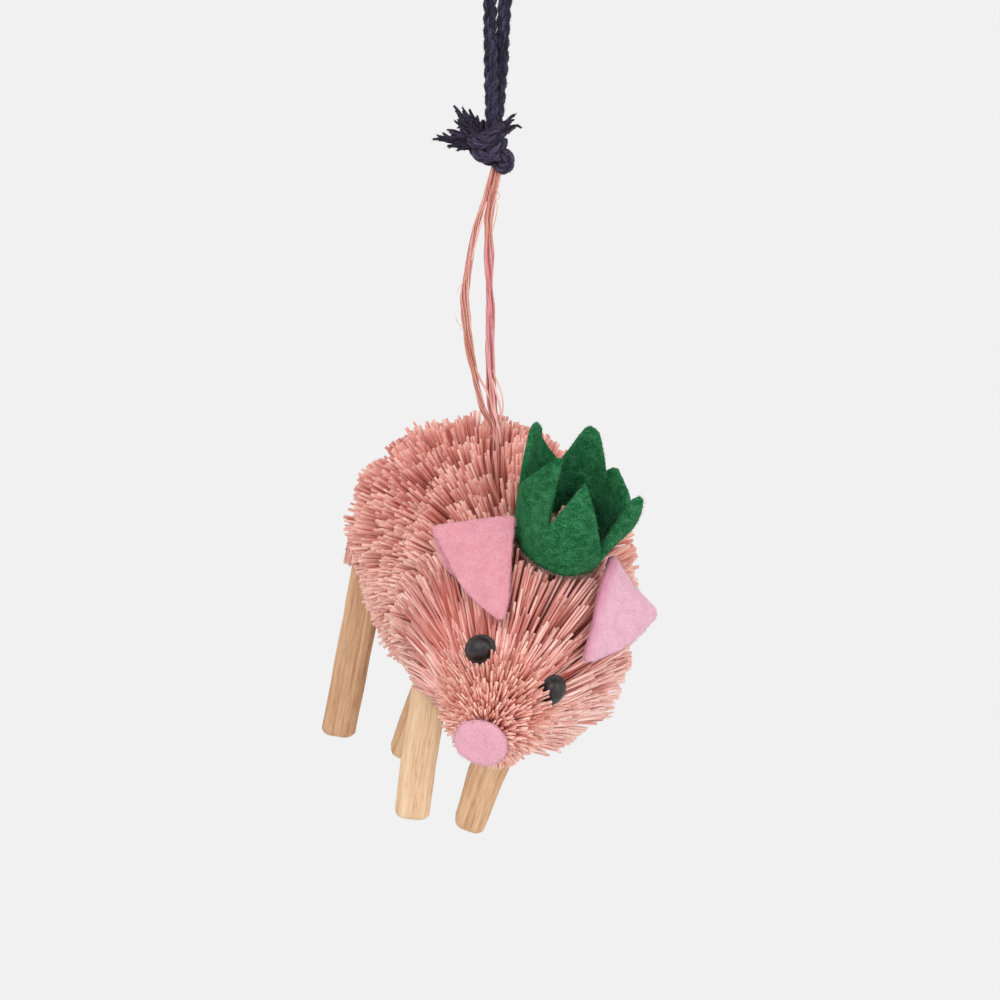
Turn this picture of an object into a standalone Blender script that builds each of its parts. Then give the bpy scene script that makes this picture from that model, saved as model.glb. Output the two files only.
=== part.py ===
"""Hanging pig ornament: a twisted-wire brush body with wooden legs, felt ears, felt crown and felt
nose, held by a raffia loop that is knotted into a cotton rope loop. All lengths are millimetres and
are turned into scene metres when a shape is made. +Z is up, and the origin is where the hook bears."""

import math
import random

import bmesh
import bpy
import numpy as np
from mathutils import Vector

MM = 0.001
GAP = 0.3

# Rope loop, its knot and its frayed ends
ROPE_RADIUS = 1.7
ROPE_BIGHT_Z = -9.0
ROPE_OPEN_Z = -20.0
ROPE_TWIST_Z = -34.0
ROPE_CLOSE_Z = -46.0
ROPE_END_Z = -52.1
KNOT_CENTRE = (-2.75, 0.0, -57.0)
KNOT_RADIUS = 4.5
LOBE_CENTRE = (0.25, 0.0, -60.0)
LOBE_RADIUS = 3.4
TUFT_LEFT_END = (-14.8, 0.0, -52.4)
TUFT_LEFT_RADIUS = 4.6
TUFT_RIGHT_END = (4.9, -1.8, -52.3)
TUFT_RIGHT_RADIUS = 2.0
TUFT_ROOT_RADIUS = 1.2

# Raffia loop and the tie round the spine
RAFFIA_RADIUS = 0.9
RAFFIA_TOP_Z = -64.45
RAFFIA_LEFT = (
    (-1.75, 0.75, -66.0), (-2.5, 0.75, -71.0), (-3.6, 0.6, -75.5), (-5.2, 0.3, -79.5),
    (-6.9, 0.0, -83.5), (-8.2, 0.0, -89.5), (-8.75, 0.0, -96.5), (-8.3, 0.0, -104.0),
    (-7.0, 0.0, -110.6), (-5.2, 0.0, -117.0), (-2.7, 0.0, -123.5),
)
RAFFIA_RIGHT = (
    (-0.25, -0.75, -66.0), (-1.0, -0.75, -71.0), (-1.9, -0.6, -75.5), (-2.9, -0.3, -79.5),
    (-3.2, 0.0, -86.0), (-2.2, 0.0, -93.0), (-2.1, 0.0, -100.0), (-2.5, 0.0, -107.0),
    (-1.8, 0.0, -114.0), (-0.6, 0.0, -119.5),
)
TURN_X = -0.75
TIE_TOP_Z = -126.6
TIE_RADIUS = 2.1
TIE_STATION = 37.2

# Twisted wire spine
SPINE = (
    (-13.7, 33.3, -147.4), (-8.8, 22.5, -152.7), (3.95, -5.5, -166.2), (4.1, -23.5, -180.5),
    (-0.6, -38.7, -192.2), (-2.3, -44.5, -197.1), (-4.1, -50.4, -200.4),
)
BODY_UP = (0.253, -0.318, 0.914)
HEAD_UP = (0.417, -0.644, 0.642)
WIRE_RADIUS = 0.8
WIRE_PITCH = 14.0
WIRE_BORE = 2.35

# Bristle coat: tip radius at stations along the spine, and how the packed root core follows it
TIP_STATIONS = (0, 3, 8, 14, 30, 46, 56, 63, 69, 86, 93, 98, 102)
TIP_RADII = (11, 22, 28.5, 32, 32.5, 33, 32, 31, 30.3, 15.4, 13.8, 12.2, 9.6)
CORE_SHARE = 0.84
STRAND_ROOT = 0.62
STRAND_TIP = 0.30
RUMP_END = 17.0
MIDDLE_END = 46.0
SHOULDER_END = 60.0
HEAD_END = 86.5

# How many rows of strands each slice has, and how many strands go round it
RUMP_ROW_COUNT = 3
MIDDLE_ROW_COUNT = 4
SHOULDER_ROW_COUNT = 2
HEAD_ROW_COUNT = 5
SNOUT_ROW_COUNT = 2
BODY_AROUND_COUNT = 32
HEAD_AROUND_COUNT = 24
SNOUT_AROUND_COUNT = 16
BORE_SIDE_COUNT = 8

# Wooden legs: foot point and sideways lean in degrees
LEG_WIDTH = 9.0
LEG_DEPTH = 8.2
LEG_LENGTH = 56.0
LEG_BACK = 0.3235
FOOT_FRONT_RIGHT = (-21.6, 6.0, -223.4)
FOOT_FRONT_LEFT = (-6.9, 14.0, -227.9)
FOOT_REAR_RIGHT = (-42.2, 37.7, -205.6)
FOOT_REAR_LEFT = (-25.1, 45.7, -213.5)
LEAN_FRONT_RIGHT = 8.0
LEAN_FRONT_LEFT = 22.0
LEAN_REAR_RIGHT = 10.5
LEAN_REAR_LEFT = 21.6

# Felt ears: lower inner corner, upper inner corner, free tip
FELT = 1.6
EAR_RIGHT = ((0.9, -46.0, -172.8), (3.1, -41.0, -148.5), (-15.7, -38.5, -151.3))
EAR_LEFT = ((19.4, -42.5, -182.2), (26.6, -38.5, -157.9), (37.2, -33.5, -171.4))
EAR_TAB = 10.0

# Felt crown
CROWN_CENTRE = (14.0, -33.5, -155.2)
CROWN_AXIS = (0.26, -0.615, 0.744)
CROWN_RADIUS = 11.1
CROWN_FLARE = 0.12
CROWN_VALLEY = 13.5
CROWN_TIP = 25.0
CROWN_POINTS = 6
CROWN_PHASE = 7.0

# Nose and eyes
NOSE_RADIUS = 6.0
NOSE_THICKNESS = 2.2
EYE_RIGHT = (-4.65, -44.3, -179.5)
EYE_LEFT = (12.8, -42.5, -189.0)
EYE_FLANGE = 3.5
EYE_DOME = 2.9
EYE_STEM = 1.2
EYE_STEM_LENGTH = 9.0

random.seed(7)

for old in list(bpy.data.objects):
    bpy.data.objects.remove(old, do_unlink=True)


def unit(vector):
    vector = np.asarray(vector, float)
    return vector / np.linalg.norm(vector)


def linear(value):
    value /= 255.0
    return value / 12.92 if value <= 0.04045 else ((value + 0.055) / 1.055) ** 2.4


def material(name, red, green, blue, roughness, metallic=0.0):
    made = bpy.data.materials.new(name)
    made.use_nodes = True
    shader = made.node_tree.nodes["Principled BSDF"]
    shader.inputs["Base Color"].default_value = (linear(red), linear(green), linear(blue), 1.0)
    shader.inputs["Roughness"].default_value = roughness
    shader.inputs["Metallic"].default_value = metallic
    return made


def bristle_material(name):
    return material(name, 218, 142, 128, 0.75)


def felt_material(name):
    return material(name, 238, 160, 188, 0.95)


def wood_material(name):
    return material(name, 214, 174, 124, 0.7)


def rope_material(name):
    return material(name, 45, 45, 72, 0.9)


def raffia_material(name):
    return material(name, 212, 138, 120, 0.7)


def steel_material(name):
    return material(name, 150, 150, 150, 0.35, 1.0)


def plastic_material(name):
    return material(name, 42, 40, 42, 0.18)


# Joint points, used as the origins of the pieces that move with them
HOOK = (0.0, 0.0, 0.0)
TURN = (TURN_X, 0.0, TIE_TOP_Z)


def solid(name, points, faces, look, origin=HOOK, smooth=False, cutter=False):
    base = np.asarray(origin, float)
    mesh = bpy.data.meshes.new(name)
    mesh.from_pydata([tuple((np.asarray(p, float) - base) * MM) for p in points], [], faces)
    mesh.validate()
    shape = bmesh.new()
    shape.from_mesh(mesh)
    bmesh.ops.recalc_face_normals(shape, faces=shape.faces)
    shape.to_mesh(mesh)
    shape.free()
    for face in mesh.polygons:
        face.use_smooth = smooth
    made = bpy.data.objects.new(name, mesh)
    made.location = Vector(base * MM)
    bpy.context.collection.objects.link(made)
    if cutter:
        made.hide_render = True
        made.display_type = "WIRE"
    else:
        mesh.materials.append(look)
    return made


def tube(name, points, radius, look, origin=HOOK, sides=2):
    base = np.asarray(origin, float)
    curve = bpy.data.curves.new(name, "CURVE")
    curve.dimensions = "3D"
    curve.bevel_depth = radius * MM
    curve.bevel_resolution = sides
    curve.use_fill_caps = True
    line = curve.splines.new("POLY")
    line.points.add(len(points) - 1)
    for slot, point in zip(line.points, points):
        slot.co = (*((np.asarray(point, float) - base) * MM), 1.0)
    line.use_smooth = True
    curve.materials.append(look)
    made = bpy.data.objects.new(name, curve)
    made.location = Vector(base * MM)
    bpy.context.collection.objects.link(made)
    return made


def boolean(target, other, operation):
    step = target.modifiers.new(operation.title(), "BOOLEAN")
    step.operation = operation
    step.solver = "EXACT"
    step.object = other
    return step


def rings_solid(name, rings, look, origin=HOOK, smooth=True, cutter=False):
    """A closed skin over rings that all have the same number of points."""
    count = len(rings[0])
    points = [point for ring in rings for point in ring]
    faces = [tuple(range(count))]
    for row in range(len(rings) - 1):
        for k in range(count):
            after = (k + 1) % count
            low = row * count
            faces.append((low + k, low + after, low + count + after, low + count + k))
    faces.append(tuple(range((len(rings) - 1) * count, len(rings) * count)))
    return solid(name, points, faces, look, origin, smooth, cutter)


def revolve(name, centre, axis, profile, sides, look, origin=HOOK, cutter=False):
    """Turns (radius, height) pairs round an axis; the first and the last ring are capped flat."""
    axis = unit(axis)
    side = unit(np.cross(axis, (0.3, 1.0, 0.1)))
    across = np.cross(axis, side)
    rings = []
    for radius, height in profile:
        ring = []
        for k in range(sides):
            angle = 2 * math.pi * k / sides
            spoke = math.cos(angle) * side + math.sin(angle) * across
            ring.append(np.asarray(centre) + radius * spoke + height * axis)
        rings.append(ring)
    return rings_solid(name, rings, look, origin, True, cutter)


def smooth_line(controls, steps):
    """Points of a smooth curve that passes through every control point."""
    p = np.asarray(controls, float)
    p = np.vstack([2 * p[0] - p[1], p, 2 * p[-1] - p[-2]])
    line = []
    for i in range(1, len(p) - 2):
        a, b, c, d = p[i - 1 : i + 3]
        for t in np.linspace(0, 1, steps, endpoint=False):
            cubic = (3 * b - a - 3 * c + d) * t**3
            line.append(0.5 * (2 * b + (c - a) * t + (2 * a - 5 * b + 4 * c - d) * t**2 + cubic))
    line.append(p[-2])
    return np.array(line)


def spaced(line, count):
    arc = np.concatenate([[0], np.cumsum(np.linalg.norm(np.diff(line, axis=0), axis=1))])
    at = np.linspace(0, arc[-1], count)
    return np.stack([np.interp(at, arc, line[:, k]) for k in range(3)], 1)


SPINE_LINE = smooth_line(SPINE, 60)
SPINE_ARC = np.concatenate([[0], np.cumsum(np.linalg.norm(np.diff(SPINE_LINE, axis=0), axis=1))])
SPINE_LENGTH = float(SPINE_ARC[-1])


def spine_point(station):
    return np.array([np.interp(station, SPINE_ARC, SPINE_LINE[:, k]) for k in range(3)])


def spine_frame(station):
    """Origin, forward, the pig's left and up at one station of the spine."""
    ahead = spine_point(min(station + 1.5, SPINE_LENGTH))
    forward = unit(ahead - spine_point(max(station - 1.5, 0.0)))
    share = min(max((station - 45.0) / 30.0, 0.0), 1.0)
    up = (1 - share) * np.array(BODY_UP) + share * np.array(HEAD_UP)
    up = unit(up - up @ forward * forward)
    return spine_point(station), forward, np.cross(up, forward), up


def tip_radius(station):
    return float(np.interp(station, TIP_STATIONS, TIP_RADII))


def on_spine(point):
    """The station whose plane holds the point, and the point's distance from the spine."""
    gaps = np.linalg.norm(SPINE_LINE - np.asarray(point), axis=1)
    nearest = int(gaps.argmin())
    return float(SPINE_ARC[nearest]), float(gaps[nearest])


# Places that the strands leave free: (point, clearance)
keep_clear = []


def leave_free(start, end, clearance, count=12):
    for share in np.linspace(0, 1, count):
        keep_clear.append(((1 - share) * np.asarray(start) + share * np.asarray(end), clearance))


def leg_line(foot, lean):
    sideways = math.sqrt(1 - LEG_BACK**2)
    down = np.array(
        (-math.sin(math.radians(lean)) * sideways, LEG_BACK, -math.cos(math.radians(lean)) * sideways)
    )
    foot = np.array(foot)
    return foot, foot - LEG_LENGTH * down


def leg_rings(foot, top, grow, seed):
    """Rings of a split stick: a flattened eight-sided section that wanders a little along its length."""
    chance = random.Random(seed)
    up = unit(top - foot)
    across = unit(np.array((1.0, 0.0, 0.0)) - up[0] * up)
    deep = np.cross(up, across)
    corners = []
    section = ((1, 0.55), (0.62, 1), (-0.55, 1), (-1, 0.6), (-1, -0.62), (-0.6, -1), (0.58, -1), (1, -0.5))
    for sx, sy in section:
        corners.append((sx * chance.uniform(0.94, 1.04), sy * chance.uniform(0.92, 1.05)))
    length = float(np.linalg.norm(top - foot))
    rings = []
    for share, scale in ((0.0, 0.86), (0.02, 1.0), (0.35, 0.98), (0.7, 1.0), (0.985, 1.0), (1.0, 0.9)):
        if grow:
            scale = 1.0
        shift = 0.35 * math.sin(3.1 * share + seed) * across
        centre = foot + share * (length + grow) * up + shift
        ring = []
        for x, y in corners:
            wide = x * scale * LEG_WIDTH / 2 + grow * math.copysign(1, x)
            thick = y * scale * LEG_DEPTH / 2 + grow * math.copysign(1, y)
            ring.append(centre + wide * across + thick * deep)
        rings.append(ring)
    return rings


LEGS = {
    "leg_front_right": (FOOT_FRONT_RIGHT, LEAN_FRONT_RIGHT, 1),
    "leg_front_left": (FOOT_FRONT_LEFT, LEAN_FRONT_LEFT, 2),
    "leg_rear_right": (FOOT_REAR_RIGHT, LEAN_REAR_RIGHT, 3),
    "leg_rear_left": (FOOT_REAR_LEFT, LEAN_REAR_LEFT, 4),
}
leg_cutters = {}
for leg_name, (foot_point, foot_lean, leg_seed) in LEGS.items():
    foot_at, top_at = leg_line(foot_point, foot_lean)
    leg_body = leg_rings(foot_at, top_at, 0.0, leg_seed)
    rings_solid(leg_name, leg_body, wood_material(leg_name + "_wood"), TURN, False)
    leg_hole = leg_rings(foot_at, top_at, GAP, leg_seed)
    leg_cutters[leg_name] = rings_solid("cut_" + leg_name, leg_hole, None, TURN, False, True)
    leave_free(foot_at, top_at, 0.62 * LEG_WIDTH + 1.6, 30)


def prism(name, outline, normal, thickness, look, origin=HOOK, cutter=False):
    """A flat sheet with rounded edges: the outline on a plane, given thickness along the normal."""
    normal = unit(normal)
    centre = np.mean(outline, axis=0)
    rings = []
    for height, inset in ((-0.5, 0.25), (-0.3, 0.0), (0.3, 0.0), (0.5, 0.25)):
        if cutter:
            inset = 0.0
        ring = []
        for point in outline:
            inward = unit(centre - point)
            ring.append(np.asarray(point) + inward * inset + normal * height * thickness)
        rings.append(ring)
    return rings_solid(name, rings, look, origin, False, cutter)


def rounded(corners, radius):
    """The corners of a triangle, each one cut back to an arc of three points."""
    outline = []
    for k in range(len(corners)):
        here = corners[k]
        before = here + radius * unit(corners[k - 1] - here)
        after = here + radius * unit(corners[(k + 1) % len(corners)] - here)
        outline += [before, 0.25 * before + 0.5 * here + 0.25 * after, after]
    return outline


def ear(name, corners):
    low, high, free = (np.array(corner) for corner in corners)
    normal = unit(np.cross(high - low, free - low))
    look = felt_material(name + "_felt")
    sheet = prism(name, rounded([low, high, free], 1.3), normal, FELT, look, TURN)
    start = low + 0.12 * (high - low)
    end = low + 0.62 * (high - low)
    middle = 0.5 * (start + end)
    station, _ = on_spine(middle)
    inward = unit(spine_point(station - 4.0) - middle)
    along = unit(end - start)
    side = unit(np.cross(inward, along))
    inset = unit(free - low) * 1.2

    def tab(tab_name, depth, thickness, grow, cutter):
        base = [start - along * grow + inset, end + along * grow + inset]
        outline = [base[0], base[1], base[1] + inward * depth, base[0] + inward * depth]
        rings = [[p + side * thickness / 2 for p in outline], [p - side * thickness / 2 for p in outline]]
        return rings_solid(tab_name, rings, None, TURN, False, cutter)

    inner = tab("join_" + name, EAR_TAB, FELT, 0.0, True)
    boolean(sheet, inner, "UNION")
    leave_free(start, end, 3.2)
    leave_free(middle, middle + inward * EAR_TAB, 3.2)
    for share in np.linspace(0, 1, 7):
        leave_free((1 - share) * low + share * high, free, 2.6)
    return tab("cut_" + name, EAR_TAB + GAP, FELT + 2 * GAP, GAP, True)


ear_cutters = [ear("ear_right", EAR_RIGHT), ear("ear_left", EAR_LEFT)]


def eye(name, centre):
    station, _ = on_spine(centre)
    outward = unit(np.array(centre) - spine_point(station))
    facing = unit(0.75 * spine_frame(station)[1] + 0.65 * outward)
    profile = (
        (EYE_STEM, -EYE_STEM_LENGTH), (EYE_STEM, -0.4), (EYE_FLANGE, -0.4), (EYE_FLANGE, 0.3),
        (EYE_DOME, 0.45), (EYE_DOME * 0.86, 1.5), (EYE_DOME * 0.5, 2.4), (0.3, 2.7),
    )
    revolve(name, centre, facing, profile, 20, plastic_material(name + "_plastic"), TURN)
    leave_free(np.array(centre) - 2 * facing, np.array(centre) + 3 * facing, EYE_FLANGE + 1.2)
    narrow, wide = EYE_STEM + GAP, EYE_FLANGE + GAP
    hole = ((narrow, -EYE_STEM_LENGTH - GAP), (narrow, -0.4 - GAP), (wide, -0.4 - GAP), (wide, 6.0))
    return revolve("cut_" + name, centre, facing, hole, 20, None, TURN, True)


eye_cutters = [eye("eye_right", EYE_RIGHT), eye("eye_left", EYE_LEFT)]


def crown():
    """A felt band with six points, flaring upwards."""
    axis = unit(CROWN_AXIS)
    front = unit(np.array((0.0, -1.0, 0.0)) + axis[1] * axis)
    right = np.cross(axis, front)
    centre = np.array(CROWN_CENTRE)
    columns = CROWN_POINTS * 6
    outer, inner = [], []
    for k in range(columns):
        angle = math.radians(CROWN_PHASE + 360.0 * k / columns)
        wave = abs(2 * ((k / 6 + 0.5) % 1.0) - 1)
        height = CROWN_VALLEY + (CROWN_TIP - CROWN_VALLEY) * (1 - wave)
        spoke = math.cos(angle) * front + math.sin(angle) * right
        for share in (0.0, 0.5, 1.0):
            rise = share * height
            radius = CROWN_RADIUS + CROWN_FLARE * rise
            outer.append(centre + radius * spoke + rise * axis)
            inner.append(centre + (radius - FELT) * spoke + rise * axis)
    points = outer + inner
    inside = len(outer)
    faces = []
    for k in range(columns):
        a = 3 * k
        b = 3 * ((k + 1) % columns)
        for row in (0, 1):
            faces.append((a + row, b + row, b + row + 1, a + row + 1))
            faces.append((inside + a + row + 1, inside + b + row + 1, inside + b + row, inside + a + row))
        faces.append((a + 2, b + 2, inside + b + 2, inside + a + 2))
        faces.append((inside + a, inside + b, b, a))
    solid("crown", points, faces, material("crown_felt", 30, 116, 66, 0.95), TURN)
    for k in range(24):
        angle = 2 * math.pi * k / 24
        spoke = math.cos(angle) * front + math.sin(angle) * right
        leave_free(centre + 10.3 * spoke - axis, centre + 12.5 * spoke + 15 * axis, 2.6, 5)
    leave_free(centre - 4 * axis, centre + 3 * axis, 10.5, 6)
    film = CROWN_RADIUS - FELT - GAP
    plug = ((4.0, -7.0), (4.0, 0.6), (film, 0.6), (film, 1.8), (4.5, 2.4))
    revolve("crown_glue", centre, axis, plug, 24, material("crown_glue_film", 205, 200, 195, 0.4), TURN)
    hole = ((4.0 + GAP, -7.0 - GAP), (4.0 + GAP, 3.0))
    return revolve("cut_crown_glue", centre, axis, hole, 24, None, TURN, True)


crown_cutter = crown()


def nose():
    centre, forward, _, _ = spine_frame(SPINE_LENGTH)
    edge = 0.45
    profile = (
        (NOSE_RADIUS - edge, GAP), (NOSE_RADIUS, GAP + edge),
        (NOSE_RADIUS, NOSE_THICKNESS - edge), (NOSE_RADIUS - edge, NOSE_THICKNESS),
    )
    revolve("nose", centre, forward, profile, 32, felt_material("nose_felt"), TURN)


nose()


def wire(name, phase):
    """One of the two wires that are twisted together and clamp the bristles between them."""
    offset = WIRE_RADIUS + GAP / 2 + 0.12
    line = []
    for station in np.linspace(1.5, SPINE_LENGTH - 0.6, 78):
        origin, _, left, up = spine_frame(station)
        angle = phase + 2 * math.pi * station / WIRE_PITCH
        line.append(origin + offset * (math.cos(angle) * left + math.sin(angle) * up))
    tube(name, line, WIRE_RADIUS, steel_material(name + "_steel"), TURN, 1)


wire("spine_wire_a", 0.0)
wire("spine_wire_b", math.pi)


def raffia_tie():
    """The raffia's lower end: a stem down between the bristles, closed in a ring round the wires."""
    origin, forward, left, _ = spine_frame(TIE_STATION)
    ring_radius = WIRE_BORE + 0.55
    cord = 1.5
    stem_top = np.array((TURN_X, 0.0, TIE_TOP_Z))
    stem_low = np.array((TURN_X, 0.0, origin[2] + ring_radius))
    look = raffia_material("raffia_tie_fibre")
    up = unit(np.cross(forward, left))

    def ring(name, thick, colour, cutter):
        points, faces = [], []
        around, across = 20, 8
        for i in range(around):
            turn = 2 * math.pi * i / around
            spoke = math.cos(turn) * left + math.sin(turn) * up
            for j in range(across):
                tilt = 2 * math.pi * j / across
                out = ring_radius + thick * math.cos(tilt)
                points.append(origin + out * spoke + thick * math.sin(tilt) * forward)
        for i in range(around):
            for j in range(across):
                a, b = i * across, ((i + 1) % around) * across
                k = (j + 1) % across
                faces.append((a + j, b + j, b + k, a + k))
        return solid(name, points, faces, colour, TURN, True, cutter)

    def stem(name, grow, extra, cutter):
        length = float(stem_top[2] - stem_low[2])
        radius = TIE_RADIUS + grow
        profile = ((radius - 0.4, 0.0), (radius, 3.0), (radius, length + extra))
        return revolve(name, stem_low, (0, 0, 1), profile, 16, None, TURN, cutter)

    tie = ring("raffia_tie", cord * 0.5, look, False)
    boolean(tie, stem("join_raffia_tie", 0.0, 0.0, True), "UNION")
    keep_clear.append((stem_top, TIE_RADIUS + 2.2))
    leave_free(stem_top + np.array((0, 0, 6.0)), stem_low, TIE_RADIUS + 1.6)
    return [ring("cut_raffia_ring", cord * 0.5 + GAP, None, True), stem("cut_raffia_stem", GAP, 8.0, True)]


tie_cutters = raffia_tie()


def bristle_slice(name, start, end, rows, around, lean):
    """A slice of the brush: packed roots with a bore for the wires, and strands drawn out of its skin."""
    chance = random.Random(name)
    bore = BORE_SIDE_COUNT
    first, last = start + GAP / 2, end - GAP / 2
    stations = np.linspace(first, last, rows + 1)
    points, faces = [], []
    for row, station in enumerate(stations):
        origin, _, left, up = spine_frame(station)
        radius = CORE_SHARE * tip_radius(station)
        for k in range(around):
            angle = 2 * math.pi * (k + 0.5 * row) / around
            points.append(origin + radius * (math.cos(angle) * left + math.sin(angle) * up))
    inner = len(points)
    for station, row in ((first, 0), ((first + last) / 2, rows / 2), (last, rows)):
        origin, _, left, up = spine_frame(station)
        for k in range(bore):
            angle = 2 * math.pi * (k + 0.5 * row * bore / around) / bore
            points.append(origin + WIRE_BORE * (math.cos(angle) * left + math.sin(angle) * up))
    share = around // bore
    for low, outer, flip in ((inner, 0, False), (inner + 2 * bore, rows * around, True)):
        for k in range(around):
            j = k // share
            face = [outer + k, outer + (k + 1) % around, low + j]
            faces.append(tuple(face if flip else face[::-1]))
            if (k + 1) % share == 0:
                face = [low + j, outer + (k + 1) % around, low + (j + 1) % bore]
                faces.append(tuple(face if flip else face[::-1]))
    for step in (0, 1):
        for k in range(bore):
            a = inner + step * bore + k
            b = inner + step * bore + (k + 1) % bore
            faces.append((a, a + bore, b + bore, b))
    for row in range(rows):
        station = 0.5 * (stations[row] + stations[row + 1])
        origin, forward, _, _ = spine_frame(station)
        for k in range(around):
            corner = [row * around + k, row * around + (k + 1) % around]
            corner += [(row + 1) * around + (k + 1) % around, (row + 1) * around + k]
            quad = np.array([points[i] for i in corner])
            centre = quad.mean(axis=0)
            outward = centre - origin
            outward = unit(outward - outward @ forward * forward)
            stray = np.array([chance.uniform(-1, 1) for _ in range(3)])
            way = unit(outward - lean * forward + 0.10 * stray)
            reach = (1.0 - 0.99 * CORE_SHARE) * tip_radius(station) * chance.uniform(0.82, 1.1)
            path = [centre + share_up * reach * way for share_up in (0.0, 0.5, 1.0, 1.15)]
            if any(np.linalg.norm(p - q) < room for p in path for q, room in keep_clear):
                faces.append(tuple(corner[::-1]))
                continue
            root = [centre + STRAND_ROOT * (p - centre) for p in quad]
            tip = [centre + way * reach + STRAND_TIP * (p - centre) for p in quad]
            at = len(points)
            points.extend(root + tip)
            for i in range(4):
                j = (i + 1) % 4
                faces.append((corner[j], corner[i], at + i, at + j))
                faces.append((at + j, at + i, at + 4 + i, at + 4 + j))
            faces.append((at + 7, at + 6, at + 5, at + 4))
    return solid(name, points, faces, bristle_material(name + "_fibre"), TURN)


rump = bristle_slice("bristles_rump", 0.0, RUMP_END, RUMP_ROW_COUNT, BODY_AROUND_COUNT, 0.25)
middle = bristle_slice("bristles_middle", RUMP_END, MIDDLE_END, MIDDLE_ROW_COUNT, BODY_AROUND_COUNT, 0.0)
shoulder = bristle_slice(
    "bristles_shoulder", MIDDLE_END, SHOULDER_END, SHOULDER_ROW_COUNT, BODY_AROUND_COUNT, 0.0
)
head = bristle_slice("bristles_head", SHOULDER_END, HEAD_END, HEAD_ROW_COUNT, HEAD_AROUND_COUNT, 0.35)
snout = bristle_slice("bristles_snout", HEAD_END, SPINE_LENGTH, SNOUT_ROW_COUNT, SNOUT_AROUND_COUNT, -0.3)

for cutter_name in ("leg_rear_right", "leg_rear_left"):
    boolean(rump, leg_cutters[cutter_name], "DIFFERENCE")
    boolean(middle, leg_cutters[cutter_name], "DIFFERENCE")
for cutter_name in ("leg_front_right", "leg_front_left"):
    boolean(middle, leg_cutters[cutter_name], "DIFFERENCE")
    boolean(shoulder, leg_cutters[cutter_name], "DIFFERENCE")
    boolean(head, leg_cutters[cutter_name], "DIFFERENCE")
for cutter in tie_cutters:
    boolean(middle, cutter, "DIFFERENCE")
for cutter in ear_cutters + eye_cutters + [crown_cutter]:
    boolean(head, cutter, "DIFFERENCE")
for cutter in ear_cutters + eye_cutters:
    boolean(snout, cutter, "DIFFERENCE")
boolean(shoulder, crown_cutter, "DIFFERENCE")


def ball(name, centre, radius, look, origin, cutter):
    profile = []
    for k in range(1, 12):
        angle = math.pi * k / 12
        profile.append((radius * math.sin(angle), -radius * math.cos(angle)))
    return revolve(name, centre, (0, 0, 1), profile, 20, look, origin, cutter)


def knot():
    """The rope's knot: its main lobe, and the lower lobe that holds the raffia."""
    main = ball("rope_knot", KNOT_CENTRE, KNOT_RADIUS, rope_material("rope_knot_cotton"), KNOT_CENTRE, False)
    boolean(main, ball("join_lobe", LOBE_CENTRE, LOBE_RADIUS, None, KNOT_CENTRE, True), "UNION")


def tuft(name, end, root_radius, end_radius, depth):
    """A frayed rope end: it opens out from the knot, flattened, with a jagged outer edge."""
    chance = random.Random(name)
    end = np.array(end)
    centre = np.array(KNOT_CENTRE)
    out = unit(end - centre)
    root = centre + (KNOT_RADIUS + GAP) * out
    up = unit(np.cross(out, (0.0, 1.0, 0.0)))
    sides = 14
    rings = []
    for share in (0.0, 0.35, 0.7, 1.0):
        radius = root_radius + (end_radius - root_radius) * share
        ring = []
        for k in range(sides):
            angle = 2 * math.pi * k / sides
            point = root + share * (end - root) + radius * math.cos(angle) * up
            point = point + radius * depth * math.sin(angle) * np.array((0.0, 1.0, 0.0))
            if share == 1.0:
                point = point + out * chance.uniform(-1.0, 1.2)
            ring.append(point)
        rings.append(ring)
    rings.append([end + 0.35 * (p - end) - 0.8 * out for p in rings[-1]])
    rings_solid(name, rings, rope_material(name + "_cotton"), KNOT_CENTRE, False)


knot()
tuft("rope_end_left", TUFT_LEFT_END, TUFT_ROOT_RADIUS, TUFT_LEFT_RADIUS, 0.75)
tuft("rope_end_right", TUFT_RIGHT_END, TUFT_ROOT_RADIUS, TUFT_RIGHT_RADIUS, 0.7)


def rope():
    """The doubled rope above the knot; its bight hangs on the hook."""
    left = [
        (-2.35, -1.45, ROPE_END_Z), (-2.5, -1.4, ROPE_CLOSE_Z), (-2.6, -0.7, ROPE_TWIST_Z),
        (-2.7, 0.0, ROPE_OPEN_Z), (-3.3, 0.0, ROPE_BIGHT_Z),
    ]
    bight = [(-2.7, 0.0, -1.2), (0.0, 0.0, ROPE_RADIUS), (2.7, 0.0, -1.2)]
    right = [
        (3.1, 0.0, ROPE_BIGHT_Z), (1.5, 0.0, ROPE_OPEN_Z), (1.2, 0.7, ROPE_TWIST_Z),
        (0.35, 1.4, ROPE_CLOSE_Z), (0.15, 1.45, ROPE_END_Z),
    ]
    line = spaced(smooth_line(left + bight + right, 20), 40)
    tube("rope_loop", line, ROPE_RADIUS, rope_material("rope_loop_cotton"), HOOK, 2)


rope()


def raffia():
    """One length of raffia, doubled: it turns back under the knot and both ends meet at the pig."""
    start, end = np.array(RAFFIA_LEFT[0]), np.array(RAFFIA_RIGHT[0])
    middle = 0.5 * (start + end)
    rise = RAFFIA_TOP_Z - middle[2]
    arch = []
    for degrees in (30, 60, 90, 120, 150):
        angle = math.radians(degrees)
        arch.append(middle - math.cos(angle) * (end - middle) + np.array((0.0, 0.0, rise * math.sin(angle))))
    end_left = [(TURN_X - 1.1, 0.0, TIE_TOP_Z + GAP)]
    end_right = [(TURN_X + 1.1, 0.0, TIE_TOP_Z + GAP)]
    line = smooth_line(end_left + list(RAFFIA_LEFT[::-1]) + arch + list(RAFFIA_RIGHT) + end_right, 3)
    tube("raffia_loop", line, RAFFIA_RADIUS, raffia_material("raffia_loop_fibre"), LOBE_CENTRE, 2)


raffia()
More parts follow.
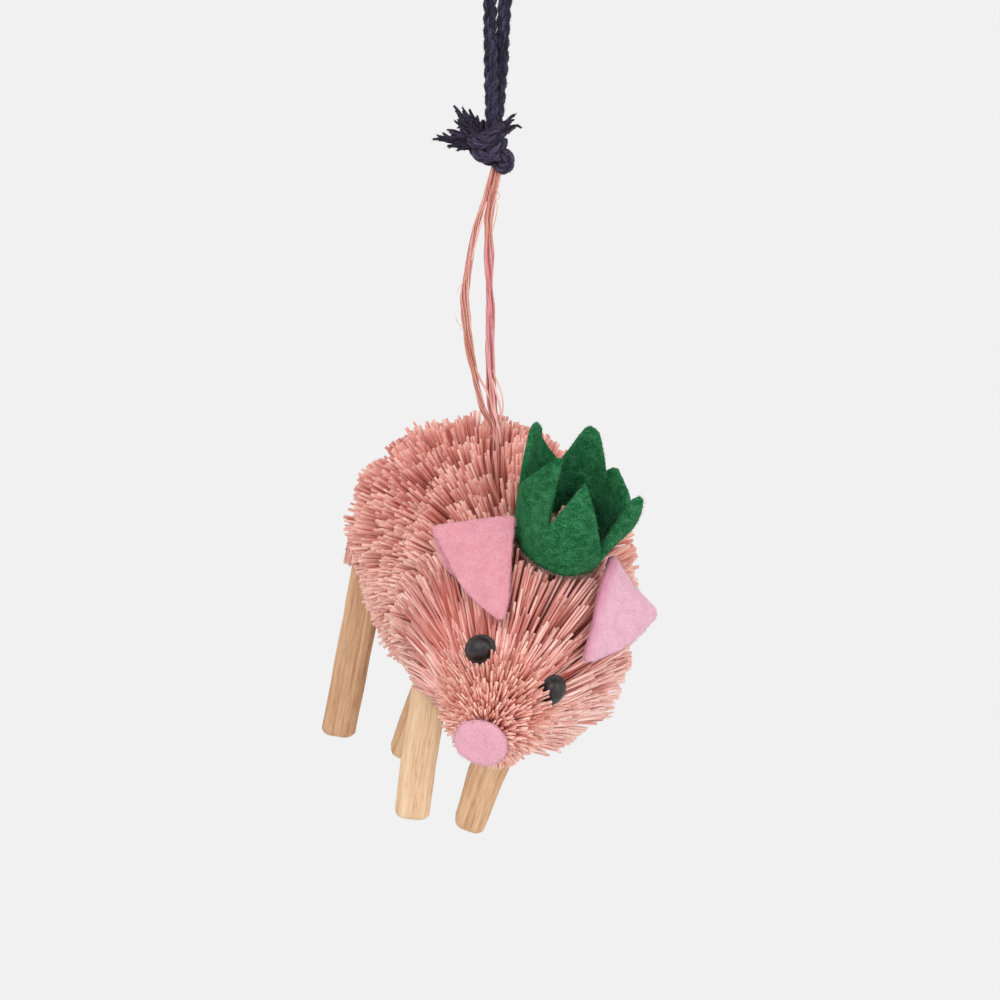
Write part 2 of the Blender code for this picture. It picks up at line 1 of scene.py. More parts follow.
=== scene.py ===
"""Looks of the hanging pig ornament: a twisted-wire brush body with wooden legs, felt ears, felt crown
and felt nose, on a raffia loop knotted into a cotton rope. Sizes and places are millimetres in the
model's own frame, and MM turns them into scene metres."""

import math
import random

import bpy
import numpy as np
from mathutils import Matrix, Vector

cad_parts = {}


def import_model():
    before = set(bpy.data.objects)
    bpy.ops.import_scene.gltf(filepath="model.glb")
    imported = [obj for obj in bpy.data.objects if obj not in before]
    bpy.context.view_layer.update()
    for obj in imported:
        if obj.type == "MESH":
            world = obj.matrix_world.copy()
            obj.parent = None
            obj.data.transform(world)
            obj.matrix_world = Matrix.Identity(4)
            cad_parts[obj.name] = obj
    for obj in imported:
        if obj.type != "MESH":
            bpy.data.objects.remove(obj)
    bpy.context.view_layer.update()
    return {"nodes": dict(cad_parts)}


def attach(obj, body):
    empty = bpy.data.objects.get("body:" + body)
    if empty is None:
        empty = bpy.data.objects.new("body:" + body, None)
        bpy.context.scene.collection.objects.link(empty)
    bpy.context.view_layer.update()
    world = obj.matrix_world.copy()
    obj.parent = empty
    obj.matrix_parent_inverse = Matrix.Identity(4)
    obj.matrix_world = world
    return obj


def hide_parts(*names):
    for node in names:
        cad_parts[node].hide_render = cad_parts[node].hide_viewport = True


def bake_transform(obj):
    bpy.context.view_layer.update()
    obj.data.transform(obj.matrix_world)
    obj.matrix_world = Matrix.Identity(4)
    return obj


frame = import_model()

MM = 0.001
CHANCE = np.random.default_rng(11)


# Plain geometry

def unit(vectors):
    vectors = np.asarray(vectors, float)
    return vectors / np.maximum(np.linalg.norm(vectors, axis=-1, keepdims=True), 1e-12)


def smooth_line(controls, steps):
    """Points of a smooth curve that passes through every control point."""
    p = np.asarray(controls, float)
    p = np.vstack([2 * p[0] - p[1], p, 2 * p[-1] - p[-2]])
    line = []
    for i in range(1, len(p) - 2):
        a, b, c, d = p[i - 1 : i + 3]
        for t in np.linspace(0, 1, steps, endpoint=False):
            cubic = (3 * b - a - 3 * c + d) * t**3
            line.append(0.5 * (2 * b + (c - a) * t + (2 * a - 5 * b + 4 * c - d) * t**2 + cubic))
    line.append(p[-2])
    return np.array(line)


def arc_along(line):
    """How far along a line each of its points lies."""
    return np.concatenate([[0], np.cumsum(np.linalg.norm(np.diff(line, axis=0), axis=1))])


def spaced(line, count):
    """The line's points again, evenly along its length."""
    arc = arc_along(line)
    at = np.linspace(0, arc[-1], count)
    return np.stack([np.interp(at, arc, line[:, k]) for k in range(3)], 1)


def line_length(line):
    return float(np.linalg.norm(np.diff(line, axis=0), axis=1).sum())


def curve(t, first, middle, last):
    """Points of the curve that sets out from first towards middle and ends at last."""
    return (1 - t) ** 2 * first + 2 * t * (1 - t) * middle + t**2 * last


def full_turn(count):
    return 2 * math.pi * np.arange(count) / count


def spokes(turn, first, second):
    """Directions at some angles, from the first direction towards the second."""
    return np.cos(turn)[:, None] * first + np.sin(turn)[:, None] * second


def from_axis(points, centre, axis):
    """How high points stand over a centre along an axis, and how far from that axis."""
    away = points - centre
    height = away @ axis
    return height, np.linalg.norm(away - height[..., None] * axis, axis=-1)


def frames_along(line):
    """Two sides at each point of a line, carried along it without twisting."""
    tangents = unit(np.gradient(line, axis=0))
    start = np.array((0.0, 1.0, 0.0)) if abs(tangents[0][1]) < 0.9 else np.array((1.0, 0.0, 0.0))
    sides = [unit(start - start @ tangents[0] * tangents[0])]
    for tangent in tangents[1:]:
        sides.append(unit(sides[-1] - sides[-1] @ tangent * tangent))
    return np.array(sides), np.cross(tangents, sides)


# Materials

WHITE = (255, 255, 255)


def linear(value):
    value /= 255.0
    return value / 12.92 if value <= 0.04045 else ((value + 0.055) / 1.055) ** 2.4


def colour(red, green, blue):
    return (linear(red), linear(green), linear(blue), 1.0)


def add_node(tree, kind, inputs=(), **settings):
    """A new node with its settings, whose inputs get a value or another node's output."""
    node = tree.nodes.new("ShaderNode" + kind)
    for key, value in settings.items():
        setattr(node, key, value)
    for key, value in dict(inputs).items():
        feed(tree, node.inputs[key], value)
    return node


def feed(tree, socket, value):
    if isinstance(value, bpy.types.NodeSocket):
        tree.links.new(value, socket)
    else:
        socket.default_value = value


class Finish:
    """A material and the nodes that give its colour, bump and roughness."""

    def __init__(self, name, roughness=0.6, **settings):
        self.material = bpy.data.materials.new(name)
        self.material.use_nodes = True
        self.tree = self.material.node_tree
        self.shader = self.tree.nodes["Principled BSDF"]
        for key, value in {"Roughness": roughness, **settings}.items():
            self.set(key.replace("_", " "), value)

    def set(self, key, value):
        feed(self.tree, self.shader.inputs[key], value)

    def attribute(self, name, output="Fac"):
        return add_node(self.tree, "Attribute", attribute_name=name).outputs[output]

    def place(self):
        return add_node(self.tree, "TexCoord").outputs["Object"]

    def stretched(self, vector, x, y, z):
        return add_node(self.tree, "Mapping", {"Scale": (x, y, z), "Vector": vector}).outputs["Vector"]

    def noise(self, vector, scale, detail=3.0, rough=0.55, distortion=0.0):
        inputs = {"Scale": scale, "Detail": detail, "Roughness": rough, "Distortion": distortion}
        return add_node(self.tree, "TexNoise", {**inputs, "Vector": vector}).outputs["Fac"]

    def streaks(self, grain, across, along, detail=3.0, rough=0.6, distortion=0.0):
        """Noise that is drawn out along a strand or stick; across and along are its waves in a millimetre."""
        return self.noise(self.stretched(grain, across, across, along), 1.0, detail, rough, distortion)

    def ramp(self, factor, *stops):
        node = add_node(self.tree, "ValToRGB", {"Fac": factor})
        band = node.color_ramp
        while len(band.elements) < len(stops):
            band.elements.new(0.5)
        for element, (place, shade) in zip(band.elements, stops):
            element.position = place
            element.color = colour(*shade)
        return node.outputs["Color"]

    def grey(self, factor, low, high, start=0.0, end=1.0):
        """A value that goes from low to high while the factor goes from start to end."""
        inputs = {"Value": factor, "From Min": start, "From Max": end, "To Min": low, "To Max": high}
        return add_node(self.tree, "MapRange", inputs).outputs["Result"]

    def blend(self, kind, factor, first, second):
        if not isinstance(second, bpy.types.NodeSocket):
            second = colour(*second)
        inputs = {0: factor, 6: first, 7: second}
        return add_node(self.tree, "Mix", inputs, data_type="RGBA", blend_type=kind).outputs[2]

    def sum(self, first, second, weight=1.0):
        inputs = {0: second, 1: weight, 2: first}
        return add_node(self.tree, "Math", inputs, operation="MULTIPLY_ADD").outputs[0]

    def done(self, shade, height, distance, strength=1.0, roughness=None):
        """The material, with its colour, its bump and, where it varies, its roughness."""
        bump = add_node(self.tree, "Bump", {"Distance": distance, "Strength": strength, "Height": height})
        self.set("Base Color", shade)
        self.set("Normal", bump.outputs["Normal"])
        if roughness:
            self.set("Roughness", roughness)
        return self.material


def fibre_look(name, dark, middle, light, root, half, reach):
    """Dyed plant fibre. Tint is a value for each strand, and along runs from its root to its cut end."""
    look = Finish(name, 0.62, Specular_IOR_Level=0.25)
    along = look.attribute("along")
    grain = look.attribute("grain", "Vector")
    body = look.ramp(look.attribute("tint"), (0.0, dark), (0.42, middle), (0.92, light))
    streak = look.streaks(grain, 2.4, 0.12)
    # The streaks are the fibre's own fine lines, and also painted shade on their dark parts and a painted cream
    # highlight on their light parts.
    body = look.blend("MULTIPLY", 1.0, body, look.ramp(streak, (0.3, (196, 146, 138)), (0.52, WHITE)))
    body = look.blend("MIX", look.grey(streak, 0.0, 0.5, 0.56, 0.72), body, (250, 214, 194))
    # Painted shade: each strand darker towards its root, in the colours root and half, up to reach along it.
    shadow = look.ramp(along, (0.1, root), (0.6 * reach, half), (reach, WHITE))
    body = look.blend("MULTIPLY", 1.0, body, shadow)
    body = look.blend("MIX", look.grey(along, 0.0, 0.3, 0.94, 1.0), body, (246, 208, 194))
    return look.done(body, streak, 0.00012, 0.7, look.grey(streak, 0.5, 0.75, 0.3, 0.7))


def root_shade_look():
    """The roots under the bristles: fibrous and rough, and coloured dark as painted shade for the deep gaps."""
    look = Finish("bristle_roots", 0.9, Specular_IOR_Level=0.1)
    spots = look.noise(look.place(), 900.0, 4.0, 0.7)
    return look.done(look.ramp(spots, (0.3, (142, 50, 42)), (0.7, (192, 100, 88))), spots, 0.0008)


def felt_look(name, deep, middle, pale, mottle, painted_shade=WHITE, sheen=0.08, spread=0.15):
    """Pressed wool: soft mottling, tiny crossing fibres and a matt sheen; painted shade darkens it where its
    shade value is set.
    """
    look = Finish(name, 0.95, Specular_IOR_Level=0.08, Sheen_Weight=sheen, Sheen_Roughness=0.6)
    at = look.place()
    cloud = look.noise(at, 420.0, 4.0, 0.65, 0.4)
    fibres = look.noise(look.stretched(at, 1.0, 1.6, 0.35), 2600.0, 3.0, 0.7, 1.2)
    cross = look.noise(look.stretched(at, 0.4, 1.2, 1.7), 2300.0, 3.0, 0.7, 1.2)
    speckle = look.noise(at, 4200.0, 2.0, 0.6, 0.8)
    mixed = look.sum(look.sum(look.grey(cloud, 0.0, mottle), fibres, 0.3), cross, 0.3)
    mixed = look.sum(mixed, speckle, 0.5)
    centre = 0.5 * mottle + 0.55
    body = look.ramp(mixed, (centre - spread, deep), (centre, middle), (centre + spread, pale))
    # Painted shade: the colour is darkened towards the shade colour by each point's shade value.
    body = look.blend("MIX", look.attribute("shade"), body, look.blend("MULTIPLY", 1.0, body, painted_shade))
    return look.done(body, look.sum(look.sum(fibres, cross, 0.8), speckle, 0.7), 0.00035, 0.8)


def wood_look(name, dark, middle, light):
    """Split and sanded stick: long grain, pores and rings, seen along and at the cut ends."""
    look = Finish(name, 0.62, Specular_IOR_Level=0.3)
    grain = look.attribute("grain", "Vector")
    broad = look.streaks(grain, 0.45, 0.016, 3.0, 0.6, 0.3)
    fine = look.streaks(grain, 2.6, 0.045, 4.0, 0.65, 0.2)
    pores = look.streaks(grain, 7.0, 0.22, 2.0)
    mixed = look.sum(look.sum(look.grey(broad, 0.0, 0.62), fine, 0.48), pores, 0.2)
    body = look.ramp(mixed, (0.44, dark), (0.61, middle), (0.79, light))
    body = look.blend("MIX", look.grey(pores, 0.0, 0.6, 0.55, 0.66), body, light)
    lines = look.ramp(pores, (0.30, (216, 198, 176)), (0.42, WHITE))
    body = look.blend("MULTIPLY", 0.8, body, lines)
    return look.done(body, look.sum(fine, pores, 0.7), 0.00035, 0.7, look.grey(fine, 0.5, 0.75, 0.3, 0.7))


def cotton_look():
    """Navy cotton yarn, with a tint for each yarn and streaks along it."""
    look = Finish("navy_cotton", 0.85, Specular_IOR_Level=0.2, Sheen_Weight=0.12)
    tint = look.attribute("tint")
    streak = look.streaks(look.attribute("grain", "Vector"), 3.0, 0.35, 3.0, 0.65)
    flecks = look.noise(look.place(), 2300.0, 3.0, 0.7, 0.5)
    mixed = look.sum(look.sum(look.grey(tint, -0.3, 0.14), streak, 0.5), flecks, 0.9)
    dark, middle, pale = (11, 7, 21), (32, 25, 46), (80, 73, 101)
    body = look.ramp(mixed, (0.34, dark), (0.56, middle), (0.86, pale))
    return look.done(body, look.sum(streak, flecks, 0.8), 0.00022, 0.9)


def raffia_look():
    """Flat dyed palm fibre with fine lines; rose and tan say where the dye changes along it."""
    look = Finish("raffia_fibre", 0.6, Specular_IOR_Level=0.3)
    grain = look.attribute("grain", "Vector")
    body = look.ramp(look.attribute("tint"), (0.0, (200, 122, 110)), (0.35, (224, 162, 152)),
                     (0.8, (244, 204, 196)), (1.0, (236, 190, 168)))
    body = look.blend("MIX", look.attribute("rose"), body, (222, 142, 160))
    body = look.blend("MIX", look.attribute("tan"), body, (208, 148, 118))
    streak = look.streaks(grain, 5.0, 0.1)
    body = look.blend("MULTIPLY", 1.0, body, look.ramp(streak, (0.3, (196, 152, 140)), (0.55, WHITE)))
    return look.done(body, streak, 0.00015, 0.8, look.grey(streak, 0.48, 0.72, 0.3, 0.7))


def eye_look():
    """Dark moulded plastic, dulled by handling, with fine scratches and paler grey-brown blotches."""
    look = Finish("eye_shell", 0.3, Specular_IOR_Level=0.45)
    at = look.place()
    pale_blotches = look.noise(at, 700.0, 4.0, 0.65)
    scratch = look.noise(look.stretched(at, 0.5, 3.0, 1.0), 1900.0, 3.0, 0.7, 0.6)
    shade = look.ramp(pale_blotches, (0.35, (18, 13, 16)), (0.6, (36, 29, 32)), (0.8, (84, 72, 71)))
    height, roughness = look.sum(scratch, pale_blotches, 0.6), look.grey(scratch, 0.22, 0.55, 0.35, 0.7)
    return look.done(shade, height, 0.00012, 0.5, roughness)


def glue_look():
    """A dried film of hot glue."""
    look = Finish("glue_film", 0.35, Specular_IOR_Level=0.5, Subsurface_Weight=0.2)
    cloud = look.noise(look.place(), 600.0, 3.0, 0.6)
    return look.done(look.ramp(cloud, (0.3, (112, 84, 70)), (0.7, (190, 156, 140))), cloud, 0.0004)


def steel_look():
    """Drawn iron wire, lightly tarnished."""
    look = Finish("wire_surface", 0.4, Metallic=1.0)
    marks = look.noise(look.stretched(look.place(), 1.0, 1.0, 4.0), 900.0, 4.0, 0.6)
    shade = look.ramp(marks, (0.3, (120, 112, 104)), (0.7, (176, 172, 166)))
    return look.done(shade, marks, 0.0001, 0.6, look.grey(marks, 0.28, 0.55, 0.3, 0.7))


# Meshes: points, arrays of face corners, and values at the points

def piece(name, mesh, look, nodes=(), body="pig", smooth=True):
    """A mesh in millimetres as a piece that rides on a body and stands for some nodes."""
    points, groups, values = mesh
    corners = np.concatenate([np.asarray(g).ravel() for g in groups])
    sizes = np.concatenate([np.full(len(g), np.shape(g)[1]) for g in groups])
    data = bpy.data.meshes.new(name)
    data.vertices.add(len(points))
    data.vertices.foreach_set("co", (np.asarray(points) * MM).astype(np.float32).ravel())
    data.loops.add(len(corners))
    data.loops.foreach_set("vertex_index", corners.astype(np.int32))
    data.polygons.add(len(sizes))
    data.polygons.foreach_set("loop_start", (np.cumsum(sizes) - sizes).astype(np.int32))
    data.polygons.foreach_set("use_smooth", np.full(len(sizes), smooth))
    data.update(calc_edges=True)
    for key, value in values.items():
        value = np.asarray(value, np.float32)
        kind, field = ("FLOAT_VECTOR", "vector") if value.ndim == 2 else ("FLOAT", "value")
        data.attributes.new(key, kind, "POINT").data.foreach_set(field, value.ravel())
    data.materials.append(look)
    made = bpy.data.objects.new(name, data)
    bpy.context.scene.collection.objects.link(made)
    if body:
        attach(made, body)
    if nodes:
        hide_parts(*nodes)
    return made


def grid_faces(rows, columns):
    """Quads of a grid of points laid out row by row, whose columns close on themselves."""
    row, column = np.meshgrid(np.arange(rows - 1), np.arange(columns), indexing="ij")
    after = (column + 1) % columns
    low, high = row * columns, (row + 1) * columns
    return np.stack([low + column, low + after, high + after, high + column], -1).reshape(-1, 4)


def closed_faces(rows, columns):
    """The same quads, and the two flat ends that close them to a body."""
    ring = np.arange(columns)[None]
    return [grid_faces(rows, columns), ring[:, ::-1], ring + (rows - 1) * columns]


def turned(centre, spoke, axis, rings):
    """A closed body round an axis, from the radius and height of each of its rings."""
    points = np.concatenate([centre + radius * spoke + height * axis for radius, height in rings])
    return points, closed_faces(len(rings), len(spoke)), {}


def plain_values(points):
    """The values of a fibre look for a body that isn't made of strands."""
    return {"tint": np.zeros(len(points)), "along": np.zeros(len(points)), "grain": points}


def strand_mesh(lines, wide, deep, sides, tints, facing=None):
    """Many thin rods at once: lines holds each rod's points, wide and deep its section at each of them."""
    count, rings = lines.shape[:2]
    along = unit(np.gradient(lines, axis=1))
    if facing is None:
        facing = CHANCE.normal(size=(count, 3))
    facing = np.broadcast_to(facing[:, None, :], lines.shape)
    across = unit(facing - (facing * along).sum(-1, keepdims=True) * along)
    normal = np.cross(along, across)
    turn = 2 * math.pi * (np.arange(sides) + 0.5) / sides
    wide = np.broadcast_to(wide, (count, rings))[:, :, None, None] / 2
    deep = np.broadcast_to(deep, (count, rings))[:, :, None, None] / 2
    ring = lines[:, :, None, :] + wide * np.cos(turn)[None, None, :, None] * across[:, :, None, :]
    ring = ring + deep * np.sin(turn)[None, None, :, None] * normal[:, :, None, :]
    start = np.arange(count)[:, None] * rings * sides
    quads, low, high = closed_faces(rings, sides)
    quads = (quads[None] + start[:, None]).reshape(-1, 4)
    steps = np.cumsum(np.linalg.norm(np.diff(lines, axis=1), axis=2), axis=1)
    arc = np.concatenate([np.zeros((count, 1)), steps], 1)
    share = arc / np.maximum(arc[:, -1:], 1e-9)
    shift = CHANCE.uniform(0, 300, (count, 1, 1))
    grain = np.empty(ring.shape)
    grain[..., 0] = wide[..., 0] * np.cos(turn) + shift
    grain[..., 1] = deep[..., 0] * np.sin(turn)
    grain[..., 2] = arc[:, :, None] + shift
    values = {
        "tint": np.repeat(tints, rings * sides),
        "along": np.repeat(share.ravel(), sides),
        "grain": grain.reshape(-1, 3),
    }
    return ring.reshape(-1, 3), [quads, np.concatenate([low + start, high + start])], values


def joined(parts):
    """Several meshes as one."""
    points, groups, values, base = [], [], {}, 0
    for some, faces, fields in parts:
        points.append(some)
        groups += [np.asarray(g) + base for g in faces]
        for key, value in fields.items():
            values.setdefault(key, []).append(value)
        base += len(some)
    return np.concatenate(points), groups, {key: np.concatenate(value) for key, value in values.items()}


def fuzz_mesh(at, away, length, width, count, lie=0.5):
    """Loose hairs that rise from some of the points, each one bent and lying over by a share."""
    chosen = CHANCE.integers(0, len(at), count)
    base, out = at[chosen], unit(away[chosen])
    side = unit(np.cross(out, CHANCE.normal(size=(count, 3))))
    reach = length * CHANCE.uniform(0.4, 1.0, (count, 1))
    way = unit(out * (1 - lie) + side * lie)
    bend = unit(way + 0.9 * CHANCE.normal(size=(count, 3)))
    lines = np.stack([base - 0.1 * out, base + 0.45 * reach * way, base + reach * unit(way + bend)], 1)
    thick = np.array((width, width, 0.5 * width))
    return strand_mesh(lines, thick, thick, 3, CHANCE.uniform(0, 1, count))


def surface_points(made, count):
    """Random points of a mesh object and the outward directions there, in millimetres."""
    mesh = made.data
    mesh.calc_loop_triangles()
    corners = np.empty(len(mesh.loop_triangles) * 3, np.int32)
    mesh.loop_triangles.foreach_get("vertices", corners)
    places = np.empty(len(mesh.vertices) * 3, np.float32)
    mesh.vertices.foreach_get("co", places)
    a, b, c = (places.reshape(-1, 3)[corners.reshape(-1, 3)[:, k]] / MM for k in range(3))
    normal = np.cross(b - a, c - a)
    area = np.linalg.norm(normal, axis=1)
    chosen = CHANCE.choice(len(area), count, p=area / area.sum())
    r, s = CHANCE.uniform(0, 1, (2, count, 1))
    r = np.sqrt(r)
    return (1 - r) * a[chosen] + r * (1 - s) * b[chosen] + r * s * c[chosen], unit(normal[chosen])


# Camera, lights and stage

CAMERA_AT = (0.0, -650.0, -145.0)
CAMERA_LENS = 93.6
LIT_POINT = (0.0, 0.0, -0.15)
LAMP_SIZE = 1.1
BACKDROP = (241, 241, 241)
SKY, SKY_STRENGTH = (1.0, 0.99, 0.98, 1.0), 0.86
FLOOR_Z, FLOOR_REACH, FLOOR_SIDES = -420.0, 640.0, 96


def camera():
    data = bpy.data.cameras.new("camera")
    data.lens = CAMERA_LENS
    data.clip_start = 0.01
    made = bpy.data.objects.new("camera", data)
    made.location = Vector(CAMERA_AT) * MM
    made.rotation_euler = (math.radians(90), 0, 0)
    bpy.context.scene.collection.objects.link(made)
    bpy.context.scene.camera = made


def lamp(name, at, power):
    data = bpy.data.lights.new(name, "AREA")
    data.shape = "DISK"
    data.size = LAMP_SIZE
    data.energy = power
    made = bpy.data.objects.new(name, data)
    made.location = Vector(at)
    made.rotation_euler = (Vector(LIT_POINT) - made.location).to_track_quat("-Z", "Y").to_euler()
    bpy.context.scene.collection.objects.link(made)


def world():
    """One background for camera, glossy and transmission rays, and another for the light on things."""
    made = bpy.data.worlds.new("studio")
    bpy.context.scene.world = made
    made.use_nodes = True
    tree = made.node_tree
    tree.nodes.clear()
    path = add_node(tree, "LightPath").outputs
    direct = path["Is Camera Ray"]
    for ray in ("Is Glossy Ray", "Is Transmission Ray"):
        direct = add_node(tree, "Math", {0: direct, 1: path[ray]}, operation="MAXIMUM").outputs[0]
    seen = add_node(tree, "Background", {"Color": colour(*BACKDROP)}).outputs[0]
    lit = add_node(tree, "Background", {"Color": SKY, "Strength": SKY_STRENGTH}).outputs[0]
    mixed = add_node(tree, "MixShader", {0: direct, 1: lit, 2: seen}).outputs[0]
    add_node(tree, "OutputWorld", {"Surface": mixed})


def floor():
    """A pale round of paper under the ornament, which fades out towards its edge."""
    look = Finish("floor_paper", 0.9, Specular_IOR_Level=0.1)
    soft = look.noise(look.place(), 6.0, 2.0)
    look.set("Base Color", look.ramp(soft, (0.3, (236, 236, 236)), (0.7, BACKDROP)))
    away = add_node(look.tree, "VectorMath", {0: look.attribute("spot", "Vector")}, operation="LENGTH")
    look.set("Alpha", look.grey(away.outputs["Value"], 1.0, 0.0, 0.35, 1.0))
    turn = full_turn(FLOOR_SIDES)
    rim = np.stack([np.cos(turn), np.sin(turn), np.zeros(FLOOR_SIDES)], 1)
    rings = np.concatenate([share * FLOOR_REACH * rim for share in (0.02, 0.35, 0.7, 1.0)])
    faces = [grid_faces(4, FLOOR_SIDES), np.arange(FLOOR_SIDES)[None]]
    mesh = rings + np.array((0.0, 0.0, FLOOR_Z)), faces, {"spot": rings / FLOOR_REACH}
    made = piece("floor", mesh, look.material, body=None, smooth=False)


camera()
world()
floor()
lamp("key", (-0.55, -1.0, 0.5), 7.5)
lamp("fill", (0.9, -0.8, 0.0), 4.5)
lamp("back", (0.3, 1.0, 0.5), 5.5)
bpy.context.scene.view_settings.view_transform = "Standard"


# Rope loop and knot

COTTON = cotton_look()
ROPE_ROUTE = (
    (-1.95, -1.3, -54.4), (-1.95, -1.4, -50.5), (-2.1, -1.45, -45), (-2.3, -1, -35), (-2.45, -0.25, -25),
    (-2.5, 0, -20), (-3.1, 0, -9), (-2.6, 0, -1.2), (0, 0, 1.6), (2.7, 0, -1.2), (2.9, 0, -9), (1.3, 0, -20),
    (0.88, 0.3, -26), (0.45, 1.05, -35), (-0.35, 1.45, -45), (-0.9, 1.4, -50.5), (-0.8, 1.3, -54.4),
)
ROPE_PITCH, KNOT_PITCH, YARN_SIDES = 10.2, 9.0, 5
# Centre line of each rope part inside the knot, and its girth as a share of the loose rope's
KNOT_TURNS = (
    (((0.6, 0.8, -52.2), (0.1, -1.6, -53.2), (-0.15, -2.7, -55), (-0.4, -3.1, -56.9), (-1.5, -3.2, -58.6),
      (-3.2, -2.9, -59.5), (-4.8, -2.3, -59.2), (-5.9, -1.1, -57.9), (-6.2, 0.7, -56.6)), 0.95),
    (((-0.6, -1.6, -52.4), (-1.4, -3, -53.9), (-2.4, -3.5, -55.5), (-4, -3.2, -56.5), (-5.6, -2.5, -56.3),
      (-7.4, -1.2, -55.1)), 0.86),
    (((-6, -2, -54.6), (-4.2, -3.3, -54.6), (-2.5, -3.8, -54), (-0.9, -3.6, -53.1), (0.7, -2.8, -51.9)),
     0.62),
    (((-0.9, 1.2, -58.6), (-0.5, -1.4, -59), (0.8, -2.3, -58.8), (2, -1.9, -59.9), (2, -1.3, -61.3),
      (0.9, -1.1, -62), (-0.4, -0.3, -61.4), (-0.6, 1.2, -60.2)), 0.95),
    (((0.2, 1.2, -58.4), (1.7, 1.6, -59.2), (2, 1.6, -60.8), (0.9, 1.6, -61.9), (-0.8, 1.7, -60.9)), 0.9),
    (((-6.2, 0.9, -57), (-5, 2.6, -58.3), (-2.6, 3.2, -58.5), (-0.3, 2.6, -57), (0.5, 1.2, -54.6)), 0.95),
    (((-6.2, 1, -54.8), (-4.6, 2.8, -55.3), (-2.4, 3.3, -55.1), (-0.5, 2.8, -53.8), (0.4, 1.5, -52.2)), 0.95),
    (((-7, -0.2, -55.4), (-6.2, 0.2, -57.1), (-5, 0.3, -58.9), (-3.2, 0.2, -59.8), (-1.4, 0.3, -59.8)), 0.9),
)
KNOT_HEARTS = (((-2.8, 0.0, -56.6), (3.3, 2.5, 3.4)), ((0.5, 0.0, -60.2), (2.3, 1.7, 2.2)))


def twisted_lines(line, ply_offset, yarn_offset, yarns, pitch, wobble=0.08):
    """The centre lines of the yarns of a rope laid up of three plies along a line."""
    side, other = frames_along(line)
    arc = arc_along(line)
    lines = []
    for ply in range(3):
        turn = 2 * math.pi * (arc / pitch + ply / 3) + CHANCE.uniform(0, 0.2)
        centre = line + ply_offset * spokes(turn, side, other)
        for yarn in range(yarns):
            inner = 2 * math.pi * (-arc / (1.2 * pitch) + yarn / yarns)
            drift = wobble * np.sin(arc * CHANCE.uniform(0.5, 1.3) + CHANCE.uniform(0, 6))
            lines.append(centre + (yarn_offset + drift)[:, None] * spokes(inner, side, other))
    return np.array(lines)


def cotton_fuzz(lines, count, length):
    """Short stray hairs all along some yarns."""
    flat = lines.reshape(-1, 3)
    centre = np.repeat(lines.mean(axis=0)[None], len(lines), axis=0).reshape(-1, 3)
    return fuzz_mesh(flat, flat - centre + 1e-4, length, width=0.07, count=count)


def rope():
    route = spaced(smooth_line(ROPE_ROUTE, 16), 44)
    line = spaced(smooth_line(route, 6), 200)
    yarns = twisted_lines(line, ply_offset=0.82, yarn_offset=0.72, yarns=12, pitch=ROPE_PITCH)
    mesh = strand_mesh(yarns, 0.56, 0.5, YARN_SIDES, CHANCE.uniform(0.15, 0.75, len(yarns)))
    mesh = joined([mesh, cotton_fuzz(yarns, 7500, 1.0)])
    made = piece("rope_yarns", mesh, COTTON, ["rope_loop"], None)
    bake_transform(made)
    return made, route


def ball(centre, radii, rows=14, columns=20):
    """A closed rounded body that fills what the yarns leave open."""
    height, turn = np.meshgrid(np.linspace(-1.5, 1.5, rows), full_turn(columns), indexing="ij")
    skin = np.stack([np.cos(height) * np.cos(turn), np.cos(height) * np.sin(turn), np.sin(height)], -1)
    points = np.array(centre) + (skin * np.array(radii)).reshape(-1, 3)
    return points, closed_faces(rows, columns), plain_values(points)


def knot():
    parts = [ball(*heart) for heart in KNOT_HEARTS]
    for route, girth in KNOT_TURNS:
        line = spaced(smooth_line(route, 12), 36)
        lines = twisted_lines(line, 0.86 * girth, 0.68 * girth, yarns=10, pitch=KNOT_PITCH)
        tints = CHANCE.uniform(0.25, 0.95, len(lines))
        parts.append(strand_mesh(lines, 0.6 * girth, 0.52 * girth, YARN_SIDES, tints))
        parts.append(cotton_fuzz(lines, 700, 0.8))
    piece("knot_yarns", joined(parts), COTTON, ["rope_knot"], "knot")


# Where the frayed yarns end: across, depth and height of each tip
FRAY_LEFT_FROM, FRAY_RIGHT_FROM = (-4.4, -0.4, -54.9), (-1.4, -2.8, -54.0)
FRAY_LEFT_TIPS = (
    (-16.5, 0, -54.7), (-15.9, -1.2, -55.2), (-15.2, 1, -54.2), (-14.4, -1.6, -53.8), (-13.1, -0.6, -52.6),
    (-13, 1.4, -53.2), (-11.4, -1.8, -50.2), (-11.3, 0.2, -46.8), (-10.7, -1.2, -48.6), (-9.8, 0.3, -46.8),
    (-9.6, -1.6, -48.8), (-10, 1.8, -48.2), (-7.3, -0.5, -48), (-7.9, -1.8, -50.4), (-6.5, -1.4, -49.4),
    (-5.9, -0.4, -48.6), (-7, 1.6, -50.2), (-4.3, -1.6, -49.7), (-4.9, 1.4, -50.6), (-13.2, 0.2, -56.5),
    (-10.8, -1.2, -57.8), (-11.8, 1.2, -56.8), (-13.6, -1.6, -55.4), (-9.6, 2.4, -52.4), (-9.4, -2.2, -57.6),
)
FRAY_RIGHT_TIPS = (
    (3.5, -1.8, -48.5), (4.1, -2.4, -49.3), (2.8, -2.2, -50.5), (4.6, -1.6, -52.1), (3.8, -2.6, -51.9),
)
# How far the yarns for one tip reach towards it
FRAY_REACHES = (1.0, 0.84, 0.7, 0.92)


